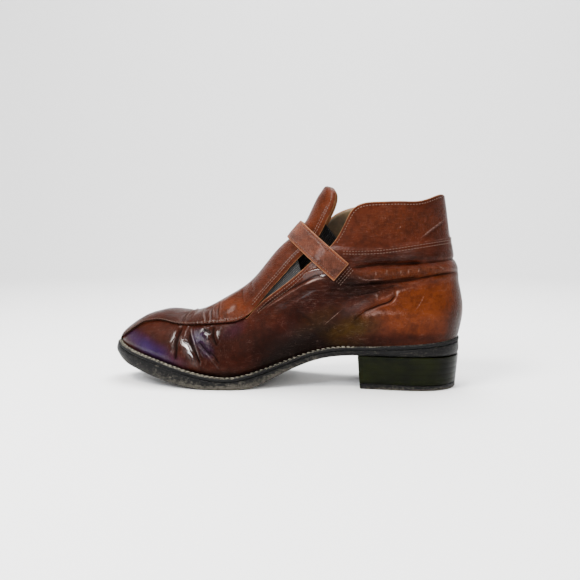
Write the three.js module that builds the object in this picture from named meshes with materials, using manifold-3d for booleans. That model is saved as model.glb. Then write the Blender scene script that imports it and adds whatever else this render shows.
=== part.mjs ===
// A man's ankle boot with an instep strap, right foot, standing empty on its sole.
// Millimetres. X runs from toe to heel, Z is up, and the medial (arch) side faces -Y.
// The surfaces are worked out in a maker's frame with x = 0 at the toe of the outsole and
// z = 0 on the floor. The finished group is moved so that the middle of its foot is the origin.

import * as THREE from "three";
import { mergeVertices } from "three/addons/utils/BufferGeometryUtils.js";
import Module from "manifold-3d";

const wasm = await Module();
wasm.setup();

// Driving dimensions
const TOE = 6.6; // x of the feather line (foot of the upper) at the toe
const HEEL = 301.3; // x of the feather line at the heel
const TOE_RADIUS = 20; // plan radius of the feather line at the toe
const HEEL_RADIUS = 32;
const WALL = 2.2; // thickness of the lined upper
const COLLAR_STEP = 0.8; // the collar panel lies this much below the quarter that laps it
const GAP = 0.3; // clearance between pieces that touch
const WELT_THICK = 3.2;
const WELT_SEAT_WIDTH = 9; // how far the welt reaches in from the edge of the sole
const STRIP_GAP = 0.52; // under the strip, whose facets are larger
const STRIP_THICK = 1.4; // leather of the strip on the vamp and of the tongue
const GORE_THICK = 1;
const STRAP_WIDTH = 17.6;
const STRAP_THICK = 2.4;
const INSOLE_THICK = 2.5;
const LIFT_THICK = 4.6; // rubber top piece under the heel
const HEEL_HIGH = 28; // height of the heel, up to the sole
const HEEL_BREAST = 217; // x of the front face of the heel at its top
const HEEL_TAPER = 2.4; // how far it draws in towards the floor
const BREAST_SLOPE = 2; // how far that face leans back towards the floor

const MEDIAL = -1;
const LATERAL = 1;
const SIDES = [MEDIAL, LATERAL];

const COLOURS = {
  leather: 0x6e3322,
  strap: 0x7a3a24,
  elastic: 0x3a3836,
  insole: 0x8a7350,
  welt: 0x6b6454,
  sole: 0x1c1a18,
  heel: 0x1a1d15,
};

// Columns of the upper from toe to heel. Each one rises from the feather line (foot), over the
// widest place (swell outwards, rise above the welt) and the line of the seam or ankle, to the
// top: the ridge of the vamp as far as the instep, and the collar behind it.
const COLUMNS = [
  { foot: 6.6, medialFoot: 0, lateralFoot: 0, medialSwell: -1.2, lateralSwell: -1.2, rise: 5, lineX: 17, lineZ: 47.6, medialLine: 0, lateralLine: 0, topX: 35, topZ: 57.5 },
  { foot: 12, medialFoot: 14.2, lateralFoot: 14.6, medialSwell: -0.6, lateralSwell: -0.6, rise: 6, lineX: 21, lineZ: 48.6, medialLine: 9.8, lateralLine: 10.2, topX: 36.5, topZ: 58 },
  { foot: 28, medialFoot: 26.5, lateralFoot: 28.5, medialSwell: 0.8, lateralSwell: 0.8, rise: 8, lineX: 33, lineZ: 50.9, medialLine: 19.2, lateralLine: 20.2, topX: 42, topZ: 59.4 },
  { foot: 52, medialFoot: 36.5, lateralFoot: 41.5, medialSwell: 1.8, lateralSwell: 1.8, rise: 9.5, lineX: 54, lineZ: 50.8, medialLine: 24.5, lateralLine: 26.5, topX: 57, topZ: 61.1 },
  { foot: 78, medialFoot: 42, lateralFoot: 49.5, medialSwell: 2.4, lateralSwell: 2.2, rise: 11, lineX: 78, lineZ: 51, medialLine: 26.5, lateralLine: 29, topX: 78, topZ: 60.6 },
  { foot: 100, medialFoot: 42.8, lateralFoot: 53, medialSwell: 3, lateralSwell: 2.4, rise: 13, lineX: 99, lineZ: 52.6, medialLine: 27.2, lateralLine: 30.5, topX: 97, topZ: 69.2 },
  { foot: 120, medialFoot: 40.5, lateralFoot: 52.5, medialSwell: 5, lateralSwell: 2.4, rise: 17, lineX: 120, lineZ: 56.6, medialLine: 27.5, lateralLine: 31, topX: 112.2, topZ: 78 },
  { foot: 142, medialFoot: 33.5, lateralFoot: 48, medialSwell: 8.5, lateralSwell: 2.6, rise: 22, lineX: 138, lineZ: 71, medialLine: 28, lateralLine: 31, topX: 127.2, topZ: 90.4 },
  { foot: 165, medialFoot: 28, lateralFoot: 41, medialSwell: 11, lateralSwell: 3, rise: 26, lineX: 158, lineZ: 87, medialLine: 29, lateralLine: 31, topX: 144.4, topZ: 112 },
  { foot: 190, medialFoot: 26, lateralFoot: 35.5, medialSwell: 11, lateralSwell: 4, rise: 29, lineX: 183, lineZ: 101, medialLine: 31, lateralLine: 32, topX: 164, topZ: 134 },
  { foot: 215, medialFoot: 28, lateralFoot: 33, medialSwell: 7.5, lateralSwell: 4.4, rise: 29, lineX: 212, lineZ: 104, medialLine: 33, lateralLine: 33, topX: 198, topZ: 158 },
  { foot: 242, medialFoot: 31, lateralFoot: 32.8, medialSwell: 4, lateralSwell: 3.6, rise: 27, lineX: 241, lineZ: 104, medialLine: 33.6, lateralLine: 33.6, topX: 231, topZ: 162 },
  { foot: 268, medialFoot: 32.2, lateralFoot: 32.5, medialSwell: 2.8, lateralSwell: 2.6, rise: 25, lineX: 268, lineZ: 103, medialLine: 31.6, lateralLine: 31.6, topX: 260, topZ: 165 },
  { foot: 288, medialFoot: 25.5, lateralFoot: 25.8, medialSwell: 3.2, lateralSwell: 3.2, rise: 25, lineX: 287.8, lineZ: 102, medialLine: 22, lateralLine: 22, topX: 280, topZ: 168 },
  { foot: 301.3, medialFoot: 0, lateralFoot: 0, medialSwell: 3.8, lateralSwell: 3.8, rise: 24, lineX: 298.8, lineZ: 101, medialLine: 0, lateralLine: 0, topX: 287.6, topZ: 171 },
];
const RIDGE_END = 165; // the tops are on the middle line as far as this column
const TOP_HALF = [
  { foot: 165, half: 0 },
  { foot: 190, half: 7 },
  { foot: 215, half: 25 },
  { foot: 242, half: 33.2 },
  { foot: 268, half: 30 },
  { foot: 288, half: 19 },
  { foot: 301.3, half: 0 },
];
const LEVEL = { foot: 0, widest: 0.28, line: 0.62, top: 1 }; // where a column passes its rows

// The sole from the side: height of the welt's top and of the tread, and how far the sole
// reaches out past the feather line.
const SOLE = [
  { x: 0, top: 36.2, tread: 24, ledge: 6.6 },
  { x: 12, top: 32.6, tread: 18.6, ledge: 5.4 },
  { x: 28, top: 27.8, tread: 13.4, ledge: 5 },
  { x: 48, top: 22.8, tread: 7.7, ledge: 5 },
  { x: 68, top: 17.2, tread: 3.3, ledge: 4.8 },
  { x: 88, top: 12.5, tread: 0, ledge: 4.7 },
  { x: 102, top: 10.4, tread: -0.8, ledge: 4.6 },
  { x: 115, top: 10.3, tread: -0.4, ledge: 4.4 },
  { x: 130, top: 13.6, tread: 1.4, ledge: 4 },
  { x: 146, top: 18.8, tread: 8.2, ledge: 3.6 },
  { x: 164, top: 25.6, tread: 16.8, ledge: 3.3 },
  { x: 184, top: 32, tread: 24.2, ledge: 3 },
  { x: 204, top: 35.2, tread: 27.6, ledge: 2.6 },
  { x: 217, top: 35.8, tread: 28.4, ledge: 2.2 },
  { x: 245, top: 37.3, tread: 28.5, ledge: 1.6 },
  { x: 275, top: 39.8, tread: 28.5, ledge: 1.3 },
  { x: 303, top: 43, tread: 28.5, ledge: 1.2 },
];

// Front edge of the quarter and line of the collar, seen from the medial side. On the lateral
// side each point lies further forward by its lead.
const TOPLINE = [
  { x: 96, z: 92, lead: 0 }, { x: 106, z: 74, lead: 0 }, { x: 114, z: 63, lead: 0 },
  { x: 124, z: 57.8, lead: 0 }, { x: 136, z: 71, lead: 0 }, { x: 148, z: 80.5, lead: 0 },
  { x: 160, z: 89.6, lead: 0 }, { x: 171, z: 99, lead: 1 }, { x: 183, z: 109.7, lead: 4 },
  { x: 193.2, z: 118, lead: 8 }, { x: 200.5, z: 127.5, lead: 11 }, { x: 205, z: 136, lead: 13 },
  { x: 208.4, z: 143, lead: 13 }, { x: 211.6, z: 148, lead: 10.5 }, { x: 216, z: 151.6, lead: 7 },
  { x: 222.5, z: 153.6, lead: 3.5 }, { x: 234, z: 154.3, lead: 0 }, { x: 252, z: 154.7, lead: 0 },
  { x: 268, z: 155.4, lead: 0 }, { x: 280, z: 158, lead: 0 }, { x: 286, z: 160.4, lead: 0 },
  { x: 300, z: 161.5, lead: 0 },
];
const COLLAR_FROM = 90; // the collar panel goes this far down behind the quarter
const COLLAR_SEAM = [
  { x: 180, z: 117.5 }, { x: 218, z: 116.6 }, { x: 234, z: 117.3 }, { x: 250, z: 119.3 },
  { x: 266, z: 121.8 }, { x: 282, z: 124.2 }, { x: 300, z: 126.6 },
];

// The tongue above the throat: its crest and its edge from the side, and its half width.
const TONGUE = [
  { crestX: 123.4, crestZ: 86, edgeX: 130.6, edgeZ: 67, half: 24.5 },
  { crestX: 134.4, crestZ: 97.6, edgeX: 141.6, edgeZ: 80.2, half: 22.5 },
  { crestX: 145.6, crestZ: 111.6, edgeX: 154.8, edgeZ: 95.2, half: 20.5 },
  { crestX: 156.2, crestZ: 121.8, edgeX: 166.6, edgeZ: 108.4, half: 18.8 },
  { crestX: 165.8, crestZ: 130.4, edgeX: 177, edgeZ: 118.4, half: 17.8 },
  { crestX: 172.4, crestZ: 138.2, edgeX: 184.3, edgeZ: 128, half: 17.2 },
  { crestX: 178.2, crestZ: 149.6, edgeX: 190.2, edgeZ: 140, half: 16.6 },
  { crestX: 183.4, crestZ: 160, edgeX: 195.2, edgeZ: 150.5, half: 15.6 },
];
const TONGUE_TIP = { x: 188.6, z: 167.6 };

// The strap's bend over the instep: distance down its own plane from the crest, and half width
// of the bend at its front edge and at its back edge.
const STRAP_CREST = { x: 163.1, z: 131.8 };
const STRAP_FALL = THREE.MathUtils.degToRad(40.5); // slope of the strap down to the quarter
const STRAP_BEND = [
  { down: -0.9, front: 0, back: 0 }, { down: -0.5, front: 3.4, back: 3 },
  { down: 0.6, front: 6.6, back: 5.6 }, { down: 2, front: 9.2, back: 8 },
  { down: 4, front: 12.1, back: 10.8 }, { down: 6.5, front: 15, back: 13.4 },
  { down: 10, front: 18, back: 16.8 }, { down: 16, front: 22, back: 20.5 },
  { down: 23, front: 26.6, back: 24.8 }, { down: 30, front: 30.5, back: 28.2 },
  { down: 38, front: 33, back: 30.7 }, { down: 46, front: 35, back: 32.7 },
  { down: 53, front: 36.3, back: 33.9 },
];

// Smooth interpolation: a cubic spline through the rows, natural at an end with no slope given.
function spline(xs, ys, startSlope = null, endSlope = null) {
  const n = xs.length;
  const low = new Array(n).fill(0);
  const mid = new Array(n).fill(1);
  const high = new Array(n).fill(0);
  const rhs = new Array(n).fill(0);
  for (let i = 1; i < n - 1; i++) {
    const before = xs[i] - xs[i - 1];
    const after = xs[i + 1] - xs[i];
    low[i] = before;
    mid[i] = 2 * (before + after);
    high[i] = after;
    rhs[i] = 6 * ((ys[i + 1] - ys[i]) / after - (ys[i] - ys[i - 1]) / before);
  }
  if (startSlope !== null) {
    const step = xs[1] - xs[0];
    mid[0] = 2 * step;
    high[0] = step;
    rhs[0] = 6 * ((ys[1] - ys[0]) / step - startSlope);
  }
  if (endSlope !== null) {
    const step = xs[n - 1] - xs[n - 2];
    mid[n - 1] = 2 * step;
    low[n - 1] = step;
    rhs[n - 1] = 6 * (endSlope - (ys[n - 1] - ys[n - 2]) / step);
  }
  for (let i = 1; i < n; i++) {
    const factor = low[i] / mid[i - 1];
    mid[i] -= factor * high[i - 1];
    rhs[i] -= factor * rhs[i - 1];
  }
  const bend = new Array(n).fill(0);
  bend[n - 1] = rhs[n - 1] / mid[n - 1];
  for (let i = n - 2; i >= 0; i--) bend[i] = (rhs[i] - high[i] * bend[i + 1]) / mid[i];
  return (x) => {
    let k = 0;
    while (k < n - 2 && x > xs[k + 1]) k++;
    const step = xs[k + 1] - xs[k];
    const a = (xs[k + 1] - x) / step;
    const b = (x - xs[k]) / step;
    const curve = ((a ** 3 - a) * bend[k] + (b ** 3 - b) * bend[k + 1]) * step * step / 6;
    return a * ys[k] + b * ys[k + 1] + curve;
  };
}

function tableSpline(rows, key, value) {
  return spline(rows.map((r) => r[key]), rows.map((r) => r[value]));
}

function smoothstep(from, to, x) {
  return THREE.MathUtils.smoothstep(x, from, to);
}

// Angles run round the feather line: 0 at the toe, pi at the heel, so that both ends are round.
const HALF_LENGTH = (HEEL - TOE) / 2;
const angleOf = (x) => Math.acos(THREE.MathUtils.clamp(1 - (x - TOE) / HALF_LENGTH, -1, 1));
const footX = (angle) => TOE + HALF_LENGTH * (1 - Math.cos(angle));
const angles = COLUMNS.map((row) => angleOf(row.foot));

// x and z of a row are level across the middle line at toe and heel; y passes straight through.
const even = (key) => spline(angles, COLUMNS.map((row) => row[key]), 0, 0);
const odd = (key) => spline(angles, COLUMNS.map((row) => row[key]));
const breadth = (key) => {
  const last = COLUMNS.length - 1;
  const ratio = COLUMNS.map((row, i) => row[key] / Math.sin(angles[i]));
  ratio[0] = Math.sqrt(TOE_RADIUS * HALF_LENGTH);
  ratio[last] = Math.sqrt(HEEL_RADIUS * HALF_LENGTH);
  return spline(angles, ratio);
};
const column = {
  foot: { [MEDIAL]: breadth("medialFoot"), [LATERAL]: breadth("lateralFoot") },
  swell: { [MEDIAL]: even("medialSwell"), [LATERAL]: even("lateralSwell") },
  line: { [MEDIAL]: odd("medialLine"), [LATERAL]: odd("lateralLine") },
  rise: even("rise"),
  lineX: even("lineX"),
  lineZ: even("lineZ"),
  topX: even("topX"),
  topZ: even("topZ"),
};
const topHalf = spline(TOP_HALF.map((r) => angleOf(r.foot)), TOP_HALF.map((r) => r.half), 0);
const weltTop = tableSpline(SOLE, "x", "top");
const treadCurve = tableSpline(SOLE, "x", "tread");
const tread = (x) => Math.max(0, treadCurve(x)); // the flat spot under the ball
const ledge = tableSpline(SOLE, "x", "ledge");

// A point of the feather line, moved out by a distance in plan.
function outline(side, angle, out = 0) {
  const at = (a) => new THREE.Vector2(footX(a), side * column.foot[side](a) * Math.sin(a));
  const point = at(angle);
  const step = 1e-3;
  const along = at(angle + step).sub(at(angle - step)).normalize();
  const outward = new THREE.Vector2(side * -along.y, side * along.x);
  return point.addScaledVector(outward, out);
}

function ridgePoint(angle) {
  return new THREE.Vector3(column.topX(angle), 0, column.topZ(angle));
}

// The upper's surface: a column at an angle round the foot, from the welt (0) to its top (1).
function upperPoint(side, angle, level) {
  const footPlan = outline(side, angle);
  const seat = weltTop(footPlan.x);
  const widePlan = outline(side, angle, column.swell[side](angle));
  const half = angle < angleOf(RIDGE_END) ? 0 : topHalf(angle);
  const rows = [
    new THREE.Vector3(footPlan.x, footPlan.y, seat),
    new THREE.Vector3(widePlan.x, widePlan.y, seat + column.rise(angle)),
    new THREE.Vector3(column.lineX(angle), side * column.line[side](angle), column.lineZ(angle)),
    new THREE.Vector3(column.topX(angle), side * half, column.topZ(angle)),
  ];
  // At the ridge a column ends along the surface, so that both sides meet without a fold.
  const rising = rows[3].clone().sub(rows[2]).divideScalar(LEVEL.top - LEVEL.line);
  const reach = 0.06;
  const along = ridgePoint(angle + reach).sub(ridgePoint(Math.max(0, angle - reach))).normalize();
  const across = new THREE.Vector3(-along.z, 0, along.x);
  const ending = rising.clone().addScaledVector(across, -rising.dot(across)).multiplyScalar(1.25);
  const open = smoothstep(angleOf(RIDGE_END), angleOf(215), angle);
  ending.lerp(rising, open);
  const knots = [LEVEL.foot, LEVEL.widest, LEVEL.line, LEVEL.top];
  const axis = (name) => spline(knots, rows.map((r) => r[name]), null, ending[name])(level);
  return new THREE.Vector3(axis("x"), axis("y"), axis("z"));
}

function upperNormal(side, angle, level) {
  const step = 2e-3;
  const a = THREE.MathUtils.clamp(angle, 0.01, Math.PI - 0.01);
  const t = THREE.MathUtils.clamp(level, step, 1 - step);
  const along = upperPoint(side, a + step, t).sub(upperPoint(side, a - step, t));
  const up = upperPoint(side, a, t + step).sub(upperPoint(side, a, t - step));
  const normal = along.cross(up).multiplyScalar(-side).normalize();
  const onMiddle = angle < 1e-6 || angle > Math.PI - 1e-6 || (level > 1 - 1e-6 && angle < angleOf(RIDGE_END));
  if (onMiddle) normal.setY(0).normalize();
  return normal;
}

function offsetUpper(side, angle, level, out) {
  return upperPoint(side, angle, level).addScaledVector(upperNormal(side, angle, level), out);
}

// Meshes: a soup of triangles becomes one solid, turned outwards.
class Soup {
  constructor() {
    this.positions = [];
  }
  triangle(a, b, c) {
    for (const p of [a, b, c]) this.positions.push(p.x, p.y, p.z);
  }
  quad(a, b, c, d) {
    this.triangle(a, b, c);
    this.triangle(a, c, d);
  }
  solid() {
    const geometry = new THREE.BufferGeometry();
    geometry.setAttribute("position", new THREE.Float32BufferAttribute(this.positions, 3));
    return solidOf(geometry);
  }
}

function solidOf(geometry) {
  const bare = geometry.index ? geometry.toNonIndexed() : geometry.clone();
  bare.deleteAttribute("normal");
  bare.deleteAttribute("uv");
  const merged = mergeVertices(bare, 1e-3);
  const source = merged.index.array;
  const kept = [];
  for (let i = 0; i < source.length; i += 3) {
    const [a, b, c] = [source[i], source[i + 1], source[i + 2]];
    if (a !== b && b !== c && a !== c) kept.push(a, b, c);
  }
  const build = (triangles) =>
    new wasm.Manifold(
      new wasm.Mesh({
        numProp: 3,
        vertProperties: Float32Array.from(merged.attributes.position.array),
        triVerts: Uint32Array.from(triangles),
      }),
    );
  const made = build(kept);
  return made.volume() > 0 ? made : build(kept.reverse());
}

// Drops the slivers that a cut can leave beside the one real body.
function mainBody(solid) {
  return solid.decompose().reduce((most, body) => (body.volume() > most.volume() ? body : most));
}

function geometryOf(solid) {
  const mesh = solid.getMesh();
  const positions = new Float32Array(mesh.numVert * 3);
  for (let i = 0; i < mesh.numVert; i++) {
    const from = i * mesh.numProp;
    positions.set(mesh.vertProperties.subarray(from, from + 3), i * 3);
  }
  const geometry = new THREE.BufferGeometry();
  geometry.setAttribute("position", new THREE.BufferAttribute(positions, 3));
  geometry.setIndex(new THREE.BufferAttribute(Uint32Array.from(mesh.triVerts), 1));
  geometry.computeVertexNormals();
  return geometry;
}

// Steps round the foot, a little closer together at toe and heel.
const STEPS = 34;
const stepAngle = (i) => {
  const s = i / STEPS;
  return Math.PI * s + 0.2 * Math.sin(2 * Math.PI * s);
};

// One closed ring of points: toe, medial side, heel, lateral side.
function ringOf(pointAt) {
  const ring = [];
  for (let i = 0; i <= STEPS; i++) ring.push(pointAt(MEDIAL, stepAngle(i)));
  for (let i = STEPS - 1; i > 0; i--) ring.push(pointAt(LATERAL, stepAngle(i)));
  return ring;
}

function joinRings(soup, lower, upper) {
  lower.forEach((point, i) => {
    const next = (i + 1) % lower.length;
    soup.quad(point, lower[next], upper[next], upper[i]);
  });
}

// Closes a ring straight across from side to side.
function capRing(soup, ring, facingUp) {
  const across = (i) => ring[(ring.length - i) % ring.length];
  for (let i = 0; i < STEPS; i++) {
    const [a, b, c, d] = [ring[i], ring[i + 1], across(i + 1), across(i)];
    if (facingUp) soup.quad(a, b, c, d);
    else soup.quad(d, c, b, a);
  }
}

function ringSolid(rings) {
  const soup = new Soup();
  for (let i = 0; i + 1 < rings.length; i++) joinRings(soup, rings[i], rings[i + 1]);
  capRing(soup, rings[0], false);
  capRing(soup, rings[rings.length - 1], true);
  return soup.solid();
}

// The whole form inside the upper's surface, moved out or in, from below the welt to the top.
const UPPER_LEVELS = [0, 0.07, 0.15, 0.24, 0.33, 0.42, 0.51, 0.6, 0.68, 0.76, 0.84, 0.92, 1];
function upperForm(out, foot) {
  const rings = UPPER_LEVELS.map((level) => ringOf((side, angle) => offsetUpper(side, angle, level, out)));
  const base = rings[0].map((p) => new THREE.Vector3(p.x, p.y, weltTop(p.x) + foot));
  rings[0].forEach((p) => (p.z = Math.max(p.z, weltTop(p.x) + 0.5)));
  return ringSolid([base, ...rings]);
}

// A prism of an outline in the X-Z plane, between two values of y.
function sidePrism(points, yFrom, yTo) {
  const shape = new THREE.Shape(points.map((p) => new THREE.Vector2(p.x, p.z)));
  const geometry = new THREE.ExtrudeGeometry(shape, { depth: yTo - yFrom, bevelEnabled: false });
  geometry.rotateX(Math.PI / 2);
  geometry.translate(0, yTo, 0);
  return solidOf(geometry);
}

const REACH = 400; // larger than the boot

function toplinePoints(side) {
  return TOPLINE.map((p) => ({ x: side === LATERAL ? p.x - p.lead : p.x, z: p.z }));
}

function belowTopline(side) {
  const line = toplinePoints(side);
  const outlinePoints = [
    { x: -REACH, z: -REACH }, { x: REACH * 2, z: -REACH }, { x: REACH * 2, z: line[line.length - 1].z },
    ...line.slice().reverse(), { x: line[0].x, z: REACH }, { x: -REACH, z: REACH },
  ];
  return sidePrism(outlinePoints, side === MEDIAL ? -REACH : 0, side === MEDIAL ? 0 : REACH);
}

function buildUpper() {
  const below = [
    { x: -REACH, z: -REACH }, { x: REACH * 2, z: -REACH }, { x: REACH * 2, z: COLLAR_SEAM[COLLAR_SEAM.length - 1].z },
    ...COLLAR_SEAM.slice().reverse(), { x: COLLAR_SEAM[0].x, z: REACH }, { x: -REACH, z: REACH },
  ];
  const quarter = upperForm(0, GAP);
  const collar = upperForm(-COLLAR_STEP, GAP);
  const belowSeam = sidePrism(below, -REACH, REACH);
  const outer = quarter.intersect(belowSeam).add(collar.trimByPlane([0, 0, 1], COLLAR_FROM));
  const hollow = upperForm(-WALL, -2);
  const trim = belowTopline(MEDIAL).add(belowTopline(LATERAL));
  return mainBody(outer.subtract(hollow).intersect(trim));
}

// A sheet of rows of points gets its thickness along its own normals and closed edges.
function sheetSolid(rows, inner, outer) {
  const normals = rows.map((row, i) =>
    row.map((_, j) => {
      const along = rows[Math.min(i + 1, rows.length - 1)][j].clone().sub(rows[Math.max(i - 1, 0)][j]);
      const across = row[Math.min(j + 1, row.length - 1)].clone().sub(row[Math.max(j - 1, 0)]);
      return along.cross(across).normalize();
    }),
  );
  const lift = (out) => rows.map((row, i) => row.map((p, j) => p.clone().addScaledVector(normals[i][j], out)));
  const low = lift(inner);
  const high = lift(outer);
  const soup = new Soup();
  const last = rows.length - 1;
  const end = rows[0].length - 1;
  for (let i = 0; i < last; i++) {
    for (let j = 0; j < end; j++) {
      soup.quad(high[i][j], high[i + 1][j], high[i + 1][j + 1], high[i][j + 1]);
      soup.quad(low[i][j + 1], low[i + 1][j + 1], low[i + 1][j], low[i][j]);
    }
    soup.quad(low[i][0], low[i + 1][0], high[i + 1][0], high[i][0]);
    soup.quad(high[i][end], high[i + 1][end], low[i + 1][end], low[i][end]);
  }
  for (let j = 0; j < end; j++) {
    soup.quad(high[0][j], high[0][j + 1], low[0][j + 1], low[0][j]);
    soup.quad(low[last][j], low[last][j + 1], high[last][j + 1], high[last][j]);
  }
  return soup.solid();
}

// Strip and tongue: rows across the boot, from the toe's welt over the vamp to the tongue's tip.
const STRIP_FOOT = 7.2; // foot x of the column where the strip's seam meets the welt
const STRIP_FULL = 28; // foot x where that seam reaches the line row
const STRIP_LAST = 121; // foot x of the last row that lies on the vamp
const STRIP_TOE_ROWS = 6;
const STRIP_VAMP_ROWS = 10;
const HALF_ACROSS = 7; // quads from the crest to the edge
const STRIP_TOE_LEVEL = 0.06; // the strip stops this far above the welt

function seamLevel(angle) {
  const share = THREE.MathUtils.clamp((footX(angle) - STRIP_FOOT) / (STRIP_FULL - STRIP_FOOT), 0, 1);
  return STRIP_TOE_LEVEL + (LEVEL.line - STRIP_TOE_LEVEL) * Math.sin((share * Math.PI) / 2) ** 0.8;
}

function vampRow(seamAngle, crestAngle, crestLevel) {
  const edge = seamLevel(seamAngle);
  const half = (side) => {
    const points = [];
    for (let j = 0; j <= HALF_ACROSS; j++) {
      const share = j / HALF_ACROSS;
      const angle = THREE.MathUtils.lerp(crestAngle, seamAngle, share);
      const level = THREE.MathUtils.lerp(crestLevel, edge, share);
      points.push(upperPoint(side, angle, level));
    }
    return points;
  };
  return [...half(MEDIAL).reverse(), ...half(LATERAL).slice(1)];
}

// Across the tongue: a quarter ellipse from the crest back to each edge.
function tongueRow(row) {
  const points = [];
  for (let j = -HALF_ACROSS; j <= HALF_ACROSS; j++) {
    const turn = ((j / HALF_ACROSS) * Math.PI) / 2;
    const back = (1 - Math.cos(turn)) ** 0.85;
    const wide = Math.sin(turn);
    points.push(
      new THREE.Vector3(
        row.crestX + (row.edgeX - row.crestX) * back,
        row.half * wide,
        row.crestZ + (row.edgeZ - row.crestZ) * back,
      ),
    );
  }
  return points;
}

function stripRows() {
  const rows = [];
  const [start, full, last] = [STRIP_FOOT, STRIP_FULL, STRIP_LAST].map(angleOf);
  for (let i = 0; i < STRIP_TOE_ROWS; i++) {
    const share = i / STRIP_TOE_ROWS;
    rows.push(vampRow(THREE.MathUtils.lerp(start, full, share), 0, THREE.MathUtils.lerp(STRIP_TOE_LEVEL, 1, share)));
  }
  for (let i = 0; i <= STRIP_VAMP_ROWS; i++) {
    const share = i / STRIP_VAMP_ROWS;
    rows.push(vampRow(THREE.MathUtils.lerp(full, last, share), last * share, 1));
  }
  rows.push(...TONGUE.map(tongueRow));
  const top = TONGUE[TONGUE.length - 1];
  for (const share of [0.5, 0.85, 1]) {
    const narrow = Math.sqrt(1 - share * share * 0.94);
    const crestX = THREE.MathUtils.lerp(top.crestX, TONGUE_TIP.x, share);
    const crestZ = THREE.MathUtils.lerp(top.crestZ, TONGUE_TIP.z, share);
    rows.push(
      tongueRow({
        crestX,
        crestZ,
        edgeX: crestX + (top.edgeX - top.crestX) * narrow,
        edgeZ: crestZ + (top.edgeZ - top.crestZ) * narrow,
        half: top.half * narrow,
      }),
    );
  }
  return rows;
}

// Elastic gore: from under the tongue, sagging a little, to the inside of the quarter.
const GORE_ROWS = 7;
const GORE_TOP = 2.9; // how many rows of the tongue it passes
const GORE_SAG = 2.5;
const GORE_FEET = [131, 176]; // foot x of the quarter's columns that it is sewn to
const INTO_THROAT = new THREE.Vector3(0.62, 0, -0.78);

function throatLevel(side, angle) {
  const line = tableSpline(TOPLINE, "x", "z");
  for (let level = 0.3; level < 0.99; level += 0.005) {
    const point = upperPoint(side, angle, level);
    if (point.z > line(point.x) - 5) return level;
  }
  return 0.99;
}

function goreRows(side) {
  const rows = [];
  for (let i = 0; i <= GORE_ROWS; i++) {
    const share = i / GORE_ROWS;
    const k = Math.min(Math.floor(share * GORE_TOP), TONGUE.length - 2);
    const mix = share * GORE_TOP - k;
    const blend = {};
    for (const key of Object.keys(TONGUE[k])) blend[key] = THREE.MathUtils.lerp(TONGUE[k][key], TONGUE[k + 1][key], mix);
    const tongue = tongueRow(blend);
    const near = tongue[side === MEDIAL ? 2 : tongue.length - 3].addScaledVector(INTO_THROAT, 1.4);
    near.y -= side * 1.85;
    const angle = THREE.MathUtils.lerp(...GORE_FEET.map(angleOf), share);
    const far = offsetUpper(side, angle, throatLevel(side, angle), -WALL - GAP - GORE_THICK - 0.2);
    const row = [];
    for (let j = 0; j <= 4; j++) {
      const sag = GORE_SAG * Math.sin((j / 4) * Math.PI);
      row.push(near.clone().lerp(far, j / 4).addScaledVector(INTO_THROAT, sag));
    }
    rows.push(side === MEDIAL ? row.reverse() : row);
  }
  return rows;
}

function strapRows() {
  const down = new THREE.Vector3(Math.cos(STRAP_FALL), 0, -Math.sin(STRAP_FALL));
  const wide = new THREE.Vector3(Math.sin(STRAP_FALL), 0, Math.cos(STRAP_FALL));
  const crest = new THREE.Vector3(STRAP_CREST.x, 0, STRAP_CREST.z);
  const row = (share) => {
    const point = (bend, side) =>
      crest
        .clone()
        .addScaledVector(down, bend.down)
        .addScaledVector(wide, (share - 0.5) * STRAP_WIDTH)
        .setY(side * THREE.MathUtils.lerp(bend.front, bend.back, share));
    const medial = STRAP_BEND.slice(1).map((bend) => point(bend, MEDIAL));
    return [...medial.reverse(), ...STRAP_BEND.map((bend) => point(bend, LATERAL))];
  };
  return [0, 0.5, 1].map(row);
}

// Sole parts, as rings round the foot. At the toe the sole's edge leans in towards its top.
const TOE_LEAN = 2.6;
const TOE_LEAN_ENDS = 22; // foot x where that lean has died out
const toeLean = (x, share) => TOE_LEAN * share * (1 - smoothstep(TOE, TOE_LEAN_ENDS, x));
function soleRing(inset, heightAt, lean = 0) {
  return ringOf((side, angle) => {
    const foot = footX(angle);
    const plan = outline(side, angle, ledge(foot) - inset - toeLean(foot, lean));
    return new THREE.Vector3(plan.x, plan.y, heightAt(plan.x));
  });
}

function buildOutsole() {
  const top = (x) => weltTop(x) - WELT_THICK - GAP;
  const plate = ringSolid([
    soleRing(1.6, (x) => tread(x), 0.9),
    soleRing(0.5, (x) => tread(x) + 1.1, 0.5),
    soleRing(0.1, (x) => THREE.MathUtils.lerp(tread(x), top(x), 0.5)),
    soleRing(0.6, top, 0.25),
  ]);
  const filler = ringSolid([
    soleRing(WELT_SEAT_WIDTH + GAP, (x) => top(x) - 1),
    soleRing(WELT_SEAT_WIDTH + GAP, (x) => weltTop(x)),
  ]);
  return plate.add(filler);
}

function buildWelt() {
  const bottom = (x) => weltTop(x) - WELT_THICK;
  const rings = [
    soleRing(0.4, bottom, 0.3),
    soleRing(0, (x) => weltTop(x) - WELT_THICK / 2, 0.6),
    soleRing(0.5, weltTop, 1),
    soleRing(WELT_SEAT_WIDTH, weltTop),
    soleRing(WELT_SEAT_WIDTH, bottom),
  ];
  const soup = new Soup();
  rings.forEach((ring, i) => joinRings(soup, ring, rings[(i + 1) % rings.length]));
  return soup.solid();
}

function buildInsole() {
  const ring = (lift, extra) =>
    ringOf((side, angle) => {
      const plan = outline(side, angle, -WALL - 1.4 - extra);
      return new THREE.Vector3(plan.x, plan.y, weltTop(plan.x) + lift);
    });
  return ringSolid([ring(GAP, 0), ring(GAP + INSOLE_THICK * 0.6, 0), ring(GAP + INSOLE_THICK, 0.8)]);
}

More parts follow.
